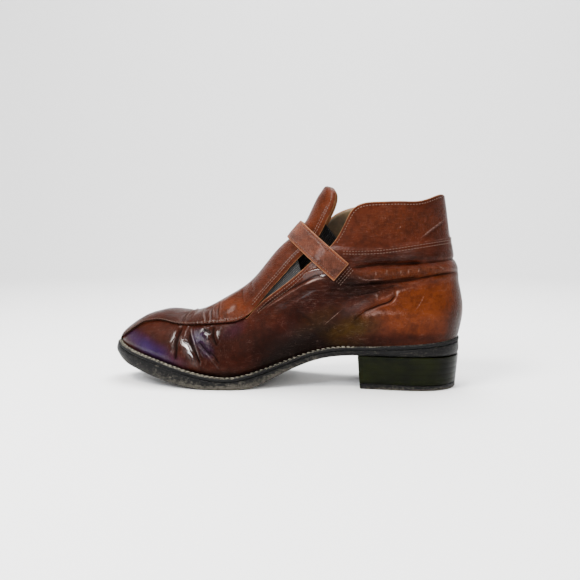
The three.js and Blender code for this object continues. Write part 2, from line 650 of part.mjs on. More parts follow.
// The heel tapers a little towards the floor and is cut off straight at its breast.
function heelForm(zFrom, zTo) {
  const taper = (z) => HEEL_TAPER * (1 - z / HEEL_HIGH) + 0.4;
  const breast = (z) => HEEL_BREAST + BREAST_SLOPE * (1 - z / HEEL_HIGH);
  const behind = [
    { x: breast(zFrom - 1), z: zFrom - 1 }, { x: REACH, z: zFrom - 1 },
    { x: REACH, z: zTo + 1 }, { x: breast(zTo + 1), z: zTo + 1 },
  ];
  const rings = [zFrom, zTo].map((z) => soleRing(taper(z), () => z));
  return ringSolid(rings).intersect(sidePrism(behind, -REACH, REACH));
}

const boot = new THREE.Group();

function addPiece(name, solid, colour, roughness, metalness = 0) {
  const material = new THREE.MeshStandardMaterial({ color: colour, roughness, metalness });
  const mesh = new THREE.Mesh(geometryOf(solid), material);
  mesh.name = name;
  boot.add(mesh);
}

addPiece("outsole", buildOutsole(), COLOURS.sole, 0.7);
addPiece("welt", buildWelt(), COLOURS.welt, 0.6);
addPiece("heel_block", heelForm(LIFT_THICK + GAP, HEEL_HIGH), COLOURS.heel, 0.4);
addPiece("heel_top_piece", heelForm(0, LIFT_THICK), COLOURS.heel, 0.6);
addPiece("upper", buildUpper(), COLOURS.leather, 0.35);
addPiece("vamp_strip_and_tongue", sheetSolid(stripRows(), STRIP_GAP, STRIP_GAP + STRIP_THICK), COLOURS.leather, 0.35);
for (const side of SIDES) {
  const name = side === MEDIAL ? "elastic_gore_medial" : "elastic_gore_lateral";
  addPiece(name, sheetSolid(goreRows(side), 0, GORE_THICK), COLOURS.elastic, 0.9);
}
addPiece("instep_strap", sheetSolid(strapRows(), 0, STRAP_THICK), COLOURS.strap, 0.35);
addPiece("insole", buildInsole(), COLOURS.insole, 0.8);

const box = new THREE.Box3().setFromObject(boot);
boot.position.set(-(box.min.x + box.max.x) / 2, -(box.min.y + box.max.y) / 2, -box.min.z);

export default boot;
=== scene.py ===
"""Dresses the frame of a strapped ankle boot: leather, lining, elastic, welt, sole and heel."""

import math

import bpy
import numpy as np
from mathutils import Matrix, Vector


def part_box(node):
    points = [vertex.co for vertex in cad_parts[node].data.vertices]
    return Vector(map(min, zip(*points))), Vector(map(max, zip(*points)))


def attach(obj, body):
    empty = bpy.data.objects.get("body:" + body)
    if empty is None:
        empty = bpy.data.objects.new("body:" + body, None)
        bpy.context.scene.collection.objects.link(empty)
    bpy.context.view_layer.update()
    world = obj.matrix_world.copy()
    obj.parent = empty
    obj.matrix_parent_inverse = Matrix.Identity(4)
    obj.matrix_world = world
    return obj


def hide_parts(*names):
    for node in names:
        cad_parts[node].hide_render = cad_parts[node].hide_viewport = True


bl_info = {
    "name": "Strapped ankle boot", "version": (1, 0, 0), "blender": (4, 5, 0),
    "location": "3D View > Sidebar > Boot",
    "description": "Leather, lining, elastic, welt, sole and heel over the boot's solid frame",
    "category": "Add Mesh",
}

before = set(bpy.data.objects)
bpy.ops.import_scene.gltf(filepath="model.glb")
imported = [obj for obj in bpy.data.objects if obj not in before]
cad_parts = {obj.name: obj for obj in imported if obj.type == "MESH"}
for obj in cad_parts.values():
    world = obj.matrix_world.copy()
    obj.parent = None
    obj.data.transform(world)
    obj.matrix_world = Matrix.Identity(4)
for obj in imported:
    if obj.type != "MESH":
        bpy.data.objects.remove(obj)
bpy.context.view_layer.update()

# All shapes are worked out in millimetres from the toe, with the medial side at -y, as the
# boot's maker measures them, and moved into the frame when a mesh is made.
SOLE_TIP = (0.83, -47.39)  # least x and least y of the outsole in the maker's measure
TO_FRAME = np.array(
    [
        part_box("outsole")[0][0] * 1000 - SOLE_TIP[0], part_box("outsole")[0][1] * 1000 - SOLE_TIP[1],
        0.0,
    ]
)

TOE, HEEL = 6.6, 301.3
TOE_RADIUS, HEEL_RADIUS = 20.0, 32.0
HALF_LENGTH = (HEEL - TOE) / 2
WALL = 2.2
LEATHER = 1.4
WELT_THICK = 3.2
WELT_SEAT_WIDTH = 9.0
STRIP_GAP = 0.52
STRIP_THICK = 1.4
STRAP_WIDTH = 17.6
STRAP_THICK = 2.4
GORE_THICK = 1.0
INSOLE_THICK = 2.5
LIFT_THICK = 4.6
HEEL_HIGH = 28.0
HEEL_TAPER = 2.4
HEEL_BREAST = 217.0
BREAST_SLOPE = 2.0
GAP = 0.3
LEVELS = np.array([0.0, 0.28, 0.62, 1.0])
RIDGE_END = 165.0
MEDIAL, LATERAL = -1, 1
COLLAR_ROWS = (2.0, 4.3)  # the stitched rows' distances under the collar's seam
COURSE_STEPS = 48  # points along a fold's course
EDGE_STEPS = 260  # points along each stretch of the trimmed edge
INNER_ROWS, LINING_ROWS = 18, 60
HEEL_STEPS = 1200  # points round the heel before it is thinned
HEEL_SOFTEN = 5  # points on each side over which the heel's corners are rounded
# The leather's colours by name; the fourth is painted shade, and plum and olive are painted sheen.
LEATHER_TONES = ("chestnut", "amber", "oxblood", "soot", "plum", "olive")


def table(names, rows):
    """A table of measures as a dictionary of columns."""
    return dict(zip(names.split(), np.array(rows, dtype=float).T))


# Columns of the upper: foot on the welt, widest place, seam or ankle line, and top.
UPPER = table(
    "foot medial_foot lateral_foot medial_swell lateral_swell rise "
    "line_x line_z medial_line lateral_line top_x top_z",
    [
        (6.6, 0, 0, -1.2, -1.2, 5, 17, 47.6, 0, 0, 35, 57.5),
        (12, 14.2, 14.6, -0.6, -0.6, 6, 21, 48.6, 9.8, 10.2, 36.5, 58),
        (28, 26.5, 28.5, 0.8, 0.8, 8, 33, 50.9, 19.2, 20.2, 42, 59.4),
        (52, 36.5, 41.5, 1.8, 1.8, 9.5, 54, 50.8, 24.5, 26.5, 57, 61.1),
        (78, 42, 49.5, 2.4, 2.2, 11, 78, 51, 26.5, 29, 78, 60.6),
        (100, 42.8, 53, 3, 2.4, 13, 99, 52.6, 27.2, 30.5, 97, 69.2),
        (120, 40.5, 52.5, 5, 2.4, 17, 120, 56.6, 27.5, 31, 112.2, 78),
        (142, 33.5, 48, 8.5, 2.6, 22, 138, 71, 28, 31, 127.2, 90.4),
        (165, 28, 41, 11, 3, 26, 158, 87, 29, 31, 144.4, 112),
        (190, 26, 35.5, 11, 4, 29, 183, 101, 31, 32, 164, 134),
        (215, 28, 33, 7.5, 4.4, 29, 212, 104, 33, 33, 198, 158),
        (242, 31, 32.8, 4, 3.6, 27, 241, 104, 33.6, 33.6, 231, 162),
        (268, 32.2, 32.5, 2.8, 2.6, 25, 268, 103, 31.6, 31.6, 260, 165),
        (288, 25.5, 25.8, 3.2, 3.2, 25, 287.8, 102, 22, 22, 280, 168),
        (301.3, 0, 0, 3.8, 3.8, 24, 298.8, 101, 0, 0, 287.6, 171),
    ],
)
TOP_HALF = table(
    "foot half", [(165, 0), (190, 7), (215, 25), (242, 33.2), (268, 30), (288, 19), (301.3, 0)]
)
SOLE = table(
    "x top tread ledge",
    [
        (0, 36.2, 24, 6.6), (12, 32.6, 18.6, 5.4), (28, 27.8, 13.4, 5), (48, 22.8, 7.7, 5),
        (68, 17.2, 3.3, 4.8), (88, 12.5, 0, 4.7), (102, 10.4, -0.8, 4.6), (115, 10.3, -0.4, 4.4),
        (130, 13.6, 1.4, 4), (146, 18.8, 8.2, 3.6), (164, 25.6, 16.8, 3.3), (184, 32, 24.2, 3),
        (204, 35.2, 27.6, 2.6), (217, 35.8, 28.4, 2.2), (245, 37.3, 28.5, 1.6),
        (275, 39.8, 28.5, 1.3), (303, 43, 28.5, 1.2),
    ],
)
# The quarter's front edge in two stretches, up and down from the bottom of the throat.
VAMP_EDGE = table("x z lead", [(96, 92, 0), (106, 74, 0), (114, 63, 0), (124, 57.8, 0)])
QUARTER_EDGE = table(
    "x z lead",
    [
        (124, 57.8, 0), (136, 71, 0), (148, 80.5, 0), (160, 89.6, 0), (171, 99, 1),
        (183, 109.7, 4), (193.2, 118, 10), (200.5, 127.5, 16), (205, 136, 18), (208.4, 143, 17),
        (211.6, 148, 13), (216, 151.6, 8), (222.5, 153.6, 3.5), (234, 154.3, 0), (252, 154.7, 0),
        (268, 155.4, 0), (276, 158, 0), (282, 160.3, 0), (286, 161, 0), (289, 160, 0),
        (296, 154, 0),
    ],
)
COLLAR_SEAM = table(
    "x z",
    [
        (180, 117.5), (218, 116.6), (234, 117.3), (250, 119.3), (266, 121.8), (282, 124.2),
        (300, 126.6),
    ],
)
TONGUE = table(
    "crest_x crest_z edge_x edge_z half",
    [
        (123.4, 86, 130.6, 67, 24.5), (134.4, 97.6, 141.6, 80.2, 22.5),
        (145.6, 111.6, 154.8, 95.2, 20.5), (156.2, 121.8, 166.6, 108.4, 18.8),
        (165.8, 130.4, 177, 118.4, 17.8), (172.4, 138.2, 184.3, 128, 17.2),
        (178.2, 149.6, 190.2, 140, 16.6), (183.4, 160, 195.2, 150.5, 15.6),
    ],
)
TONGUE_TIP = (188.6, 167.6)
STRAP_CREST = (163.1, 131.8)
STRAP_FALL = math.radians(40.5)
STRAP_GROOVE = 0.76  # place of its stitched groove, as a share of the half width
# A pale pink laid faintly over the whole strap, and more thickly over its top as a painted sheen.
STRAP_PALE_AND_SHEEN = np.array([0.42, 0.2, 0.15])
STRAP_BEND = table(
    "down front back",
    [
        (-0.9, 0, 0), (-0.5, 3.4, 3), (0.6, 6.6, 5.6), (2, 9.2, 8), (4, 12.1, 10.8),
        (6.5, 15, 13.4), (10, 18, 16.8), (16, 22, 20.5), (23, 26.6, 24.8), (30, 30.5, 28.2),
        (38, 33, 30.7), (46, 35, 32.7), (53, 36.3, 33.9),
    ],
)


class Curve:
    """A cubic spline through rows: natural at an end, or with the slope given there."""

    def __init__(self, knots, values, start=None, end=None):
        self.knots = np.asarray(knots, dtype=float)
        self.values = np.asarray(values, dtype=float)
        count = len(self.knots)
        step = np.diff(self.knots)
        rise = (np.diff(self.values, axis=0).T / step).T
        matrix = np.eye(count)
        wanted = np.zeros_like(self.values)
        for i in range(1, count - 1):
            matrix[i, i - 1 : i + 2] = step[i - 1], 2 * (step[i - 1] + step[i]), step[i]
            wanted[i] = 6 * (rise[i] - rise[i - 1])
        if start is not None:
            matrix[0, :2] = 2 * step[0], step[0]
            wanted[0] = 6 * (rise[0] - start)
        if end is not None:
            matrix[-1, -2:] = step[-1], 2 * step[-1]
            wanted[-1] = 6 * (end - rise[-1])
        self.bend = np.linalg.solve(matrix, wanted)

    def __call__(self, x):
        x = np.asarray(x, dtype=float)
        k = np.clip(np.searchsorted(self.knots, x, side="right") - 1, 0, len(self.knots) - 2)
        step = self.knots[k + 1] - self.knots[k]
        a = (self.knots[k + 1] - x) / step
        b = (x - self.knots[k]) / step
        if self.values.ndim > 1:
            a, b, step = a[..., None], b[..., None], step[..., None]
        curve = ((a**3 - a) * self.bend[k] + (b**3 - b) * self.bend[k + 1]) * step**2 / 6
        return a * self.values[k] + b * self.values[k + 1] + curve


def smoothstep(low, high, x):
    """0 below low, 1 above high, and 3t^2 - 2t^3 between them."""
    t = np.clip((x - low) / (high - low), 0, 1)
    return t * t * (3 - 2 * t)


def mix(a, b, share):
    """a at share 0, b at share 1."""
    return a + (b - a) * share


def unit(vectors):
    """The vectors at length 1."""
    return vectors / np.maximum(np.linalg.norm(vectors, axis=-1, keepdims=True), 1e-9)


def reach_of(points):
    """Length along a line of points, from its first one to each."""
    return np.concatenate([[0], np.cumsum(np.linalg.norm(np.diff(points, axis=0), axis=-1))])


def along_line(at, reach, points):
    """The points' coordinates at given lengths along them."""
    return np.stack([np.interp(at, reach, column) for column in np.transpose(points)], -1)


def bell(x, width):
    """1 at x = 0 and falling to both sides as exp(-(x / width)^2)."""
    return np.exp(-((x / width) ** 2))


def angle_of(x):
    """The angle round the foot whose cosine places x: 0 at the toe, pi at the heel."""
    return np.arccos(np.clip(1 - (np.asarray(x) - TOE) / HALF_LENGTH, -1, 1))


def foot_x(angle):
    """The x that belongs to an angle round the foot."""
    return TOE + HALF_LENGTH * (1 - np.cos(angle))


ANGLES = angle_of(UPPER["foot"])


def even(key):
    """A measure that lies level across the middle line at toe and heel."""
    return Curve(ANGLES, UPPER[key], 0, 0)


def breadth(key):
    """Half width of the foot over the sine of its angle, so that toe and heel are round."""
    ratio = UPPER[key] / np.maximum(np.sin(ANGLES), 1e-9)
    ratio[0] = math.sqrt(TOE_RADIUS * HALF_LENGTH)
    ratio[-1] = math.sqrt(HEEL_RADIUS * HALF_LENGTH)
    return Curve(ANGLES, ratio)


FOOT = {MEDIAL: breadth("medial_foot"), LATERAL: breadth("lateral_foot")}
SWELL = {MEDIAL: even("medial_swell"), LATERAL: even("lateral_swell")}
LINE = {
    MEDIAL: Curve(ANGLES, UPPER["medial_line"]), LATERAL: Curve(ANGLES, UPPER["lateral_line"]),
}
RISE, LINE_X, LINE_Z = even("rise"), even("line_x"), even("line_z")
TOP_X, TOP_Z = even("top_x"), even("top_z")
HALF_TOP = Curve(angle_of(TOP_HALF["foot"]), TOP_HALF["half"], 0)
WELT_TOP = Curve(SOLE["x"], SOLE["top"])
TREAD = Curve(SOLE["x"], SOLE["tread"])
LEDGE = Curve(SOLE["x"], SOLE["ledge"])
COLLAR_LINE = Curve(COLLAR_SEAM["x"], COLLAR_SEAM["z"])


def by_side(curves, side, angle):
    """The medial or the lateral curve's value, whichever the side asks for."""
    return np.where(side < 0, curves[MEDIAL](angle), curves[LATERAL](angle))


def outline(side, angle, out=0.0):
    """The feather line in plan, moved out at right angles by a distance."""

    def at(a):
        return foot_x(a), side * by_side(FOOT, side, a) * np.sin(a)

    x, y = at(angle)
    (x0, y0), (x1, y1) = at(angle - 1e-3), at(angle + 1e-3)
    dx, dy = x1 - x0, y1 - y0
    length = np.hypot(dx, dy)
    return x - side * dy / length * out, y + side * dx / length * out


def spline_weights():
    """Inverse of the spline's matrix for the four levels: natural at the foot, clamped on top."""
    h = np.diff(LEVELS)
    return np.linalg.inv(
        np.array(
            [
                [1, 0, 0, 0], [h[0], 2 * (h[0] + h[1]), h[1], 0],
                [0, h[1], 2 * (h[1] + h[2]), h[2]], [0, 0, h[2], 2 * h[2]],
            ]
        )
    )


WEIGHTS = spline_weights()


def body(side, angle, level):
    """The upper's smooth surface: a spline up each column through foot, widest place, line, top.

    At the ridge of the vamp a column ends square to the ridge, so both sides meet without a fold.
    """
    side, angle, level = np.broadcast_arrays(side, angle, level)
    fx, fy = outline(side, angle)
    seat = WELT_TOP(fx)
    wx, wy = outline(side, angle, by_side(SWELL, side, angle))
    half = np.where(angle < angle_of(RIDGE_END), 0, HALF_TOP(angle))
    rows = np.stack(
        [
            np.stack([fx, fy, seat], -1), np.stack([wx, wy, seat + RISE(angle)], -1),
            np.stack([LINE_X(angle), side * by_side(LINE, side, angle), LINE_Z(angle)], -1),
            np.stack([TOP_X(angle), side * half, TOP_Z(angle)], -1),
        ]
    )
    rising = (rows[3] - rows[2]) / (LEVELS[3] - LEVELS[2])
    back = np.maximum(angle - 0.06, 0)
    along_x = TOP_X(angle + 0.06) - TOP_X(back)
    along_z = TOP_Z(angle + 0.06) - TOP_Z(back)
    length = np.hypot(along_x, along_z)
    across = np.stack([-along_z / length, 0 * length, along_x / length], -1)
    ending = (rising - across * np.sum(rising * across, -1, keepdims=True)) * 1.25
    ending = mix(ending, rising, smoothstep(angle_of(RIDGE_END), angle_of(215), angle)[..., None])
    h = np.diff(LEVELS)
    slopes = [(rows[i + 1] - rows[i]) / h[i] for i in range(3)]
    wanted = np.stack(
        [
            0 * rising, 6 * (slopes[1] - slopes[0]), 6 * (slopes[2] - slopes[1]),
            6 * (ending - slopes[2]),
        ]
    )
    bend = np.tensordot(WEIGHTS, wanted, axes=(1, 0))
    k = np.clip(np.searchsorted(LEVELS, level, side="right") - 1, 0, 2)
    step = h[k][..., None]
    a = (LEVELS[k + 1] - level)[..., None] / step
    b = (level - LEVELS[k])[..., None] / step

    def pick(stack, index):
        return np.take_along_axis(stack, index[None, ..., None], 0)[0]

    curve = (a**3 - a) * pick(bend, k) + (b**3 - b) * pick(bend, k + 1)
    return a * pick(rows, k) + b * pick(rows, k + 1) + curve * step**2 / 6


def body_normal(side, angle, level):
    """Outward unit normal of the smooth surface, from small steps along and up."""
    step = 2e-3
    angle = np.clip(angle, 0.01, math.pi - 0.01)
    level = np.clip(level, step, 1 - step)
    along = body(side, angle + step, level) - body(side, angle - step, level)
    up = body(side, angle, level + step) - body(side, angle, level - step)
    return unit(np.cross(along, up) * -np.asarray(side, dtype=float)[..., None])


def locate(side, x, z):
    """Angle and level at which the surface shows a point (x, z) from the side.

    Newton's method from the nearest of a coarse net of points, for a whole array at once.
    """
    coarse = np.linspace(0.05, 3.1, 130), np.linspace(0.02, 0.99, 60)
    angles, levels = np.meshgrid(*coarse, indexing="ij")
    net = body(np.full_like(angles, side), angles, levels)
    net_x, net_z = net[..., 0].ravel(), net[..., 2].ravel()
    far = (net_x[None] - x[:, None]) ** 2 + (net_z[None] - z[:, None]) ** 2
    nearest = far.argmin(1)
    angle, level = angles.ravel()[nearest], levels.ravel()[nearest]
    sides = np.full_like(angle, side)
    for _ in range(12):
        here = body(sides, angle, level)
        da = (body(sides, angle + 1e-4, level) - here) / 1e-4
        dl = (body(sides, angle, level + 1e-4) - here) / 1e-4
        rx, rz = x - here[:, 0], z - here[:, 2]
        det = da[:, 0] * dl[:, 2] - da[:, 2] * dl[:, 0]
        det = np.where(np.abs(det) < 1e-6, 1e-6, det)
        step_a = (rx * dl[:, 2] - rz * dl[:, 0]) / det
        step_l = (rz * da[:, 0] - rx * da[:, 2]) / det
        angle = np.clip(angle + np.clip(step_a, -0.05, 0.05), 0.01, math.pi - 0.01)
        level = np.clip(level + np.clip(step_l, -0.05, 0.05), 0.0, 1.0)
    return angle, level


# Folds of the upper, seen from the side: height of the fold (below 0 for a crease), its half
# width, how much the tops are rubbed pale and given painted highlight (above 0) or the bottoms
# given painted shade (below 0), and its course.
FOLDS = (
    ("ankle crease", -3.0, 1.6, -1.0,
     [(207, 101.5), (220, 102.3), (233, 104), (246, 104.3), (259, 105), (270, 105.6)]),
    ("ankle crease, back", -1.5, 1.3, -0.7,
     [(256, 105), (268, 105.4), (280, 106.4), (291, 107.6), (304, 109)]),
    ("roll over the ankle crease", 1.3, 2.6, 0.35,
     [(205, 105.5), (212, 106), (219, 107), (233, 108.2), (250, 108.6), (268, 109.5), (290, 112)]),
    ("second roll", 0.5, 1.6, 0.2, [(214, 112), (232, 112.8), (252, 113), (276, 116)]),
    ("leaf", 1.7, 3.6, 0.25,
     [(216, 97.5), (231, 97.2), (246, 98.6), (266, 100.6), (283, 102), (302, 103)]),
    ("leaf's lip", 0.7, 0.8, 1.3,
     [(211, 101), (212, 99.5), (215, 95.6), (218, 93.2), (224, 91.4), (233, 92), (243, 93)]),
    ("crack one", 0.6, 0.65, 1.0, [(230.5, 100), (231, 96.5), (232.5, 93.5)]),
    ("crack two", 0.6, 0.65, 1.0, [(241, 100.5), (239.6, 97), (241, 94.5)]),
    ("crack three", 0.6, 0.65, 1.0, [(250, 100), (251, 97.5), (249.5, 95.5)]),
    ("crack four", 0.6, 0.65, 1.0, [(258.5, 101), (257, 98.5), (258, 96)]),
    ("crack five", 0.6, 0.65, 1.0, [(266.5, 101.5), (265, 99.5), (266, 97)]),
    ("crack six", 0.6, 0.65, 1.0, [(279, 104), (282, 101), (286, 99.5)]),
    ("lower crease", -2.5, 1.5, -1.0,
     [(198, 90), (209, 87.6), (220, 87.6), (233, 88.6), (251, 90.4), (268, 93.2), (284, 96),
      (304, 97.5)]),
    ("under the leaf", -1.3, 1.6, -0.7, [(222, 89.5), (236, 90.5), (252, 92.5), (268, 95.5)]),
    ("counter's upper edge", 1.0, 2.2, 0.45,
     [(240, 86), (252, 87.5), (266, 90), (282, 93), (304, 94)]),
    ("heel bulge", 1.5, 6.0, 0.0, [(272, 97), (286, 98), (304, 99)]),
    ("third crease", -1.3, 1.1, -0.9,
     [(206, 79), (216, 79.2), (224, 80.4), (232, 82), (240, 85), (252, 88.4)]),
    ("fine fold one", -0.6, 0.9, -0.6, [(180, 84.5), (196, 83.4), (212, 84), (226, 85)]),
    ("fine fold two", -0.5, 0.8, -0.5, [(186, 80), (202, 79), (210, 80)]),
    ("fine fold three", -0.5, 0.8, -0.5, [(202, 94), (210, 92), (218, 91)]),
    ("fine fold four", -0.5, 0.8, -0.4, [(176, 80.5), (190, 77), (206, 75.5)]),
    ("fine roll one", 0.5, 0.9, 0.6, [(182, 82.4), (196, 81.4), (208, 82)]),
    ("fine roll two", 0.5, 0.9, 0.5, [(190, 87.4), (204, 85.6), (218, 86)]),
    ("fine roll three", 0.4, 0.9, 0.4, [(176, 78.6), (190, 75), (202, 73.4)]),
    ("bright roll", 1.2, 2.6, 0.5, [(208, 67), (213, 70.3), (220, 74), (226, 77.5)]),
    ("bright roll, end", 0.9, 1.0, 0.8, [(231.3, 81), (232.2, 78), (232, 74.5)]),
    ("bright roll, faint", 0.7, 3.0, 0.5, [(225, 77), (236, 81.5), (246, 86)]),
    ("hook", -2.1, 1.2, -1.0,
     [(246.6, 85), (246.6, 79.5), (244, 75), (237, 71.8), (228, 68), (220, 63.5), (213, 56)]),
    ("hook's rim", 0.9, 1.0, 1.1, [(248.8, 86), (248.6, 81), (246.8, 75.8), (240, 70.2)]),
    ("under the hook", 0.7, 2.6, 0.2, [(238, 68), (229, 63.5), (221, 57)]),
    ("hollow of the waist", -0.8, 7.0, -0.2, [(160, 62), (176, 58), (192, 50)]),
    ("slack over the arch", -0.7, 2.0, -0.5, [(161, 74), (168, 66), (178, 59), (184, 52)]),
    ("facing's lip", 1.0, 1.2, 0.8,
     [(127, 57.5), (138, 65), (149, 72), (161, 80), (170, 85.3), (178, 89.6), (187, 92.2),
      (197, 91)]),
    ("facing's lip, bright", 0.7, 1.0, 1.2, [(172, 86), (180, 90), (188, 92.4), (194, 91.8)]),
    ("dark of the facing", -1.4, 1.5, -1.0,
     [(129, 62), (148, 75.5), (161, 83.7), (174, 90.6), (184, 95), (193, 95.4)]),
    ("light of the facing", 1.2, 1.5, 0.7, [(170, 93.6), (177, 97), (184, 99), (190, 98.6)]),
    ("under the facing", -0.8, 2.0, -0.5, [(150, 67), (164, 76), (176, 82), (188, 84.6)]),
    ("flex crease A", -2.7, 1.5, -1.0,
     [(68.5, 50.5), (67, 46), (66, 41), (66, 35), (66, 29), (66, 22)]),
    ("A, front rim", 1.0, 0.8, 0.7, [(64.8, 43.5), (63.8, 40), (63, 36), (62.8, 31)]),
    ("A, back rim", 1.0, 0.9, 0.5, [(68.8, 47), (68, 43), (67.6, 38), (67.6, 33)]),
    ("ridge B", 1.6, 1.0, 0.7, [(74.2, 51), (73.4, 47.5), (72.6, 43.5), (72, 40.5)]),
    ("between B and C", -0.9, 0.7, -1.0, [(70.5, 40), (74, 38.8), (78, 37.2), (80, 35.5)]),
    ("ridge C", 0.7, 4.0, 0.1,
     [(71.5, 38.5), (74, 35.5), (77.5, 32), (82, 27.5), (88, 22), (94, 17)]),
    ("between C and E", -2.1, 1.4, -1.0,
     [(75, 47.5), (76.5, 42.5), (78.3, 38.5), (81, 34), (84, 29.5), (86.5, 25), (90, 20)]),
    ("ridge E", 1.7, 0.9, 0.8,
     [(75.5, 49.5), (77, 46), (79, 42), (81.5, 37.5), (84, 33), (86.5, 28.5), (88.8, 24)]),
    ("second ridge E", 0.9, 0.8, 0.5, [(82.5, 38), (86.5, 34), (90, 31), (93, 27.5), (95.5, 24.5)]),
    ("behind E", -1.2, 0.9, -0.9, [(84.5, 39.5), (89, 35.5), (93, 32), (98, 28.5)]),
    ("ridge F", 1.1, 0.8, 0.7, [(91.5, 31.5), (94.5, 28.3), (98, 25), (102, 21), (105.5, 17.5)]),
    ("behind F", -1.1, 0.9, -0.9, [(94, 33), (97.5, 30.4), (101, 26.5), (105, 22)]),
    ("top of G", 0.9, 0.7, 0.7, [(85.5, 50.3), (90, 49.6), (94, 49.4)]),
    ("dark of G", -1.4, 1.2, -1.0, [(87, 48.6), (91, 47.4), (94.5, 46)]),
    ("ridge G", 0.7, 2.2, 0.3, [(86.5, 47.5), (90, 45), (93, 42.7), (94.5, 41)]),
    ("before H", -2.1, 1.6, -1.0, [(96.3, 51.5), (96, 47), (96.6, 43), (99, 39), (101.5, 35.5)]),
    ("ridge H", 0.8, 3.0, 0.2,
     [(100, 53), (99.2, 49.5), (99.3, 46), (100.2, 42.5), (101.6, 38.5), (103, 34.5)]),
    ("second ridge H", 0.8, 0.7, 0.4, [(102, 51), (102.6, 47), (103, 43)]),
    ("collar crease", 0.9, 0.9, 1.3, [(262, 123), (266, 125), (274, 131), (282, 137), (291, 144)]),
    ("collar crease, under", -0.7, 1.0, -0.5, [(264, 122.4), (268, 124.5), (276, 130), (291, 141)]),
    ("collar dent", -0.5, 3.0, -0.1, [(262, 131), (272, 139), (280, 148)]),
    ("soft dent of the counter", -0.3, 6.0, 0.0, [(255, 72), (272, 78), (290, 84)]),
    ("soft wave of the vamp", 0.5, 5.0, 0.0, [(112, 48), (118, 34), (124, 24)]),
    ("soft hollow of the vamp", -0.5, 5.0, -0.1, [(128, 50), (136, 36), (142, 28)]),
)

# Marks without height: how pale and how broad. The narrow ones are scratches; the two broad ones
# low on the quarter and counter are painted highlight, a band across it and a line along a ridge.
SCRATCHES_AND_SHEEN = (
    (1.1, 0.5, [(271, 82), (267, 73), (262, 66)]), (1.1, 0.45, [(188, 53), (197, 61), (206, 69)]),
    (0.7, 0.45, [(192, 44), (203, 49.5), (213, 54)]),
    (0.6, 0.45, [(243, 128), (252, 135), (262, 139)]),
    (0.5, 0.4, [(229, 134), (236, 138), (240, 144)]),
    (0.5, 0.4, [(216, 124), (224, 131), (228, 140)]),
    (0.72, 3.2, [(206, 60), (224, 63.6), (242, 65), (262, 64)]),
    (0.8, 1.6, [(228, 72), (240, 78), (252, 83), (266, 87)]),
    (0.8, 0.4, [(228, 145), (243, 139), (258, 128)]),
    (0.8, 0.4, [(252, 133), (262, 127), (268, 121)]),
    (0.7, 0.4, [(238, 126), (243, 131), (251, 134)]),
    (0.6, 0.4, [(220, 122), (226, 126), (236, 127)]),
    (0.7, 0.4, [(176, 62), (184, 66), (196, 66)]), (0.7, 0.4, [(214, 50), (226, 55), (236, 56)]),
)

COLLAR_STEP = 0.8
LATERAL_EASE = 0.7  # height of the folds on the lateral side
# The violet cast is a painted sheen.
LATERAL_SHARE = 0.4  # how much of the violet cast and of the thick polish the lateral side has

# Patches of tone, seen from the side: middle, radii, tilt in degrees, strength. The near-black patches
# are painted shade under the arch, along the welt, in creases and at the back edge; the plum and olive
# patches are painted sheen.
PATCHES = (
    ("oxblood", 150, 44, 50, 28, 34, 0.75), ("oxblood", 142, 46, 56, 24, 22, 0.6),
    ("oxblood", 100, 32, 36, 24, 0, 0.8), ("oxblood", 50, 42, 30, 18, 0, 0.7),
    ("oxblood", 190, 68, 40, 20, 26, 0.7), ("amber", 268, 68, 38, 24, 8, 0.78),
    ("amber", 254, 97, 46, 4.5, 4, 0.8), ("amber", 292, 84, 14, 26, 0, 0.6),
    ("amber", 244, 138, 36, 16, 4, 0.3), ("amber", 150, 62, 12, 5, 34, 0.15),
    ("oxblood", 232, 111, 54, 5, 4, 0.5), ("oxblood", 210, 88, 26, 12, 0, 0.75),
    ("oxblood", 288, 118, 16, 12, 10, 0.4), ("soot", 182, 41, 36, 10, 24, 1.0),
    ("soot", 150, 24, 34, 9, 32, 1.0), ("soot", 112, 12, 48, 5, 0, 0.9),
    ("soot", 226, 39, 30, 4.5, 4, 0.8), ("soot", 58, 21, 46, 4, -20, 0.6),
    ("soot", 136, 36, 14, 12, 30, 0.5), ("soot", 222, 84, 32, 4, 3, 0.5),
    ("soot", 204, 92, 20, 6, 0, 0.5), ("soot", 200, 38, 30, 8, 10, 1.0),
    ("soot", 168, 34, 30, 9, 32, 1.0), ("soot", 148, 40, 16, 9, 30, 0.5),
    ("soot", 178, 45, 36, 12, 26, 0.75), ("soot", 166, 60, 9, 6, 30, 0.4),
    ("soot", 246, 108, 44, 3, 4, 0.6), ("soot", 296, 52, 9, 20, 0, 0.6),
    ("soot", 300, 90, 7, 40, 0, 0.5), ("oxblood", 176, 72, 34, 13, 30, 0.7),
    ("oxblood", 30, 34, 26, 14, 0, 0.6), ("oxblood", 268, 42, 34, 5, 2, 0.6),
    ("plum", 42, 32, 28, 7, -20, 1.0), ("plum", 84, 42, 6, 6, -50, 1.0),
    ("plum", 92, 34, 8, 5, -45, 0.5), ("plum", 114, 49, 10, 6, 35, 0.18),
    ("olive", 212, 50, 22, 11, 20, 1.0), ("olive", 186, 60, 20, 8, 30, 0.35),
    ("oxblood", 244, 44, 50, 4, 2, 0.6),
)
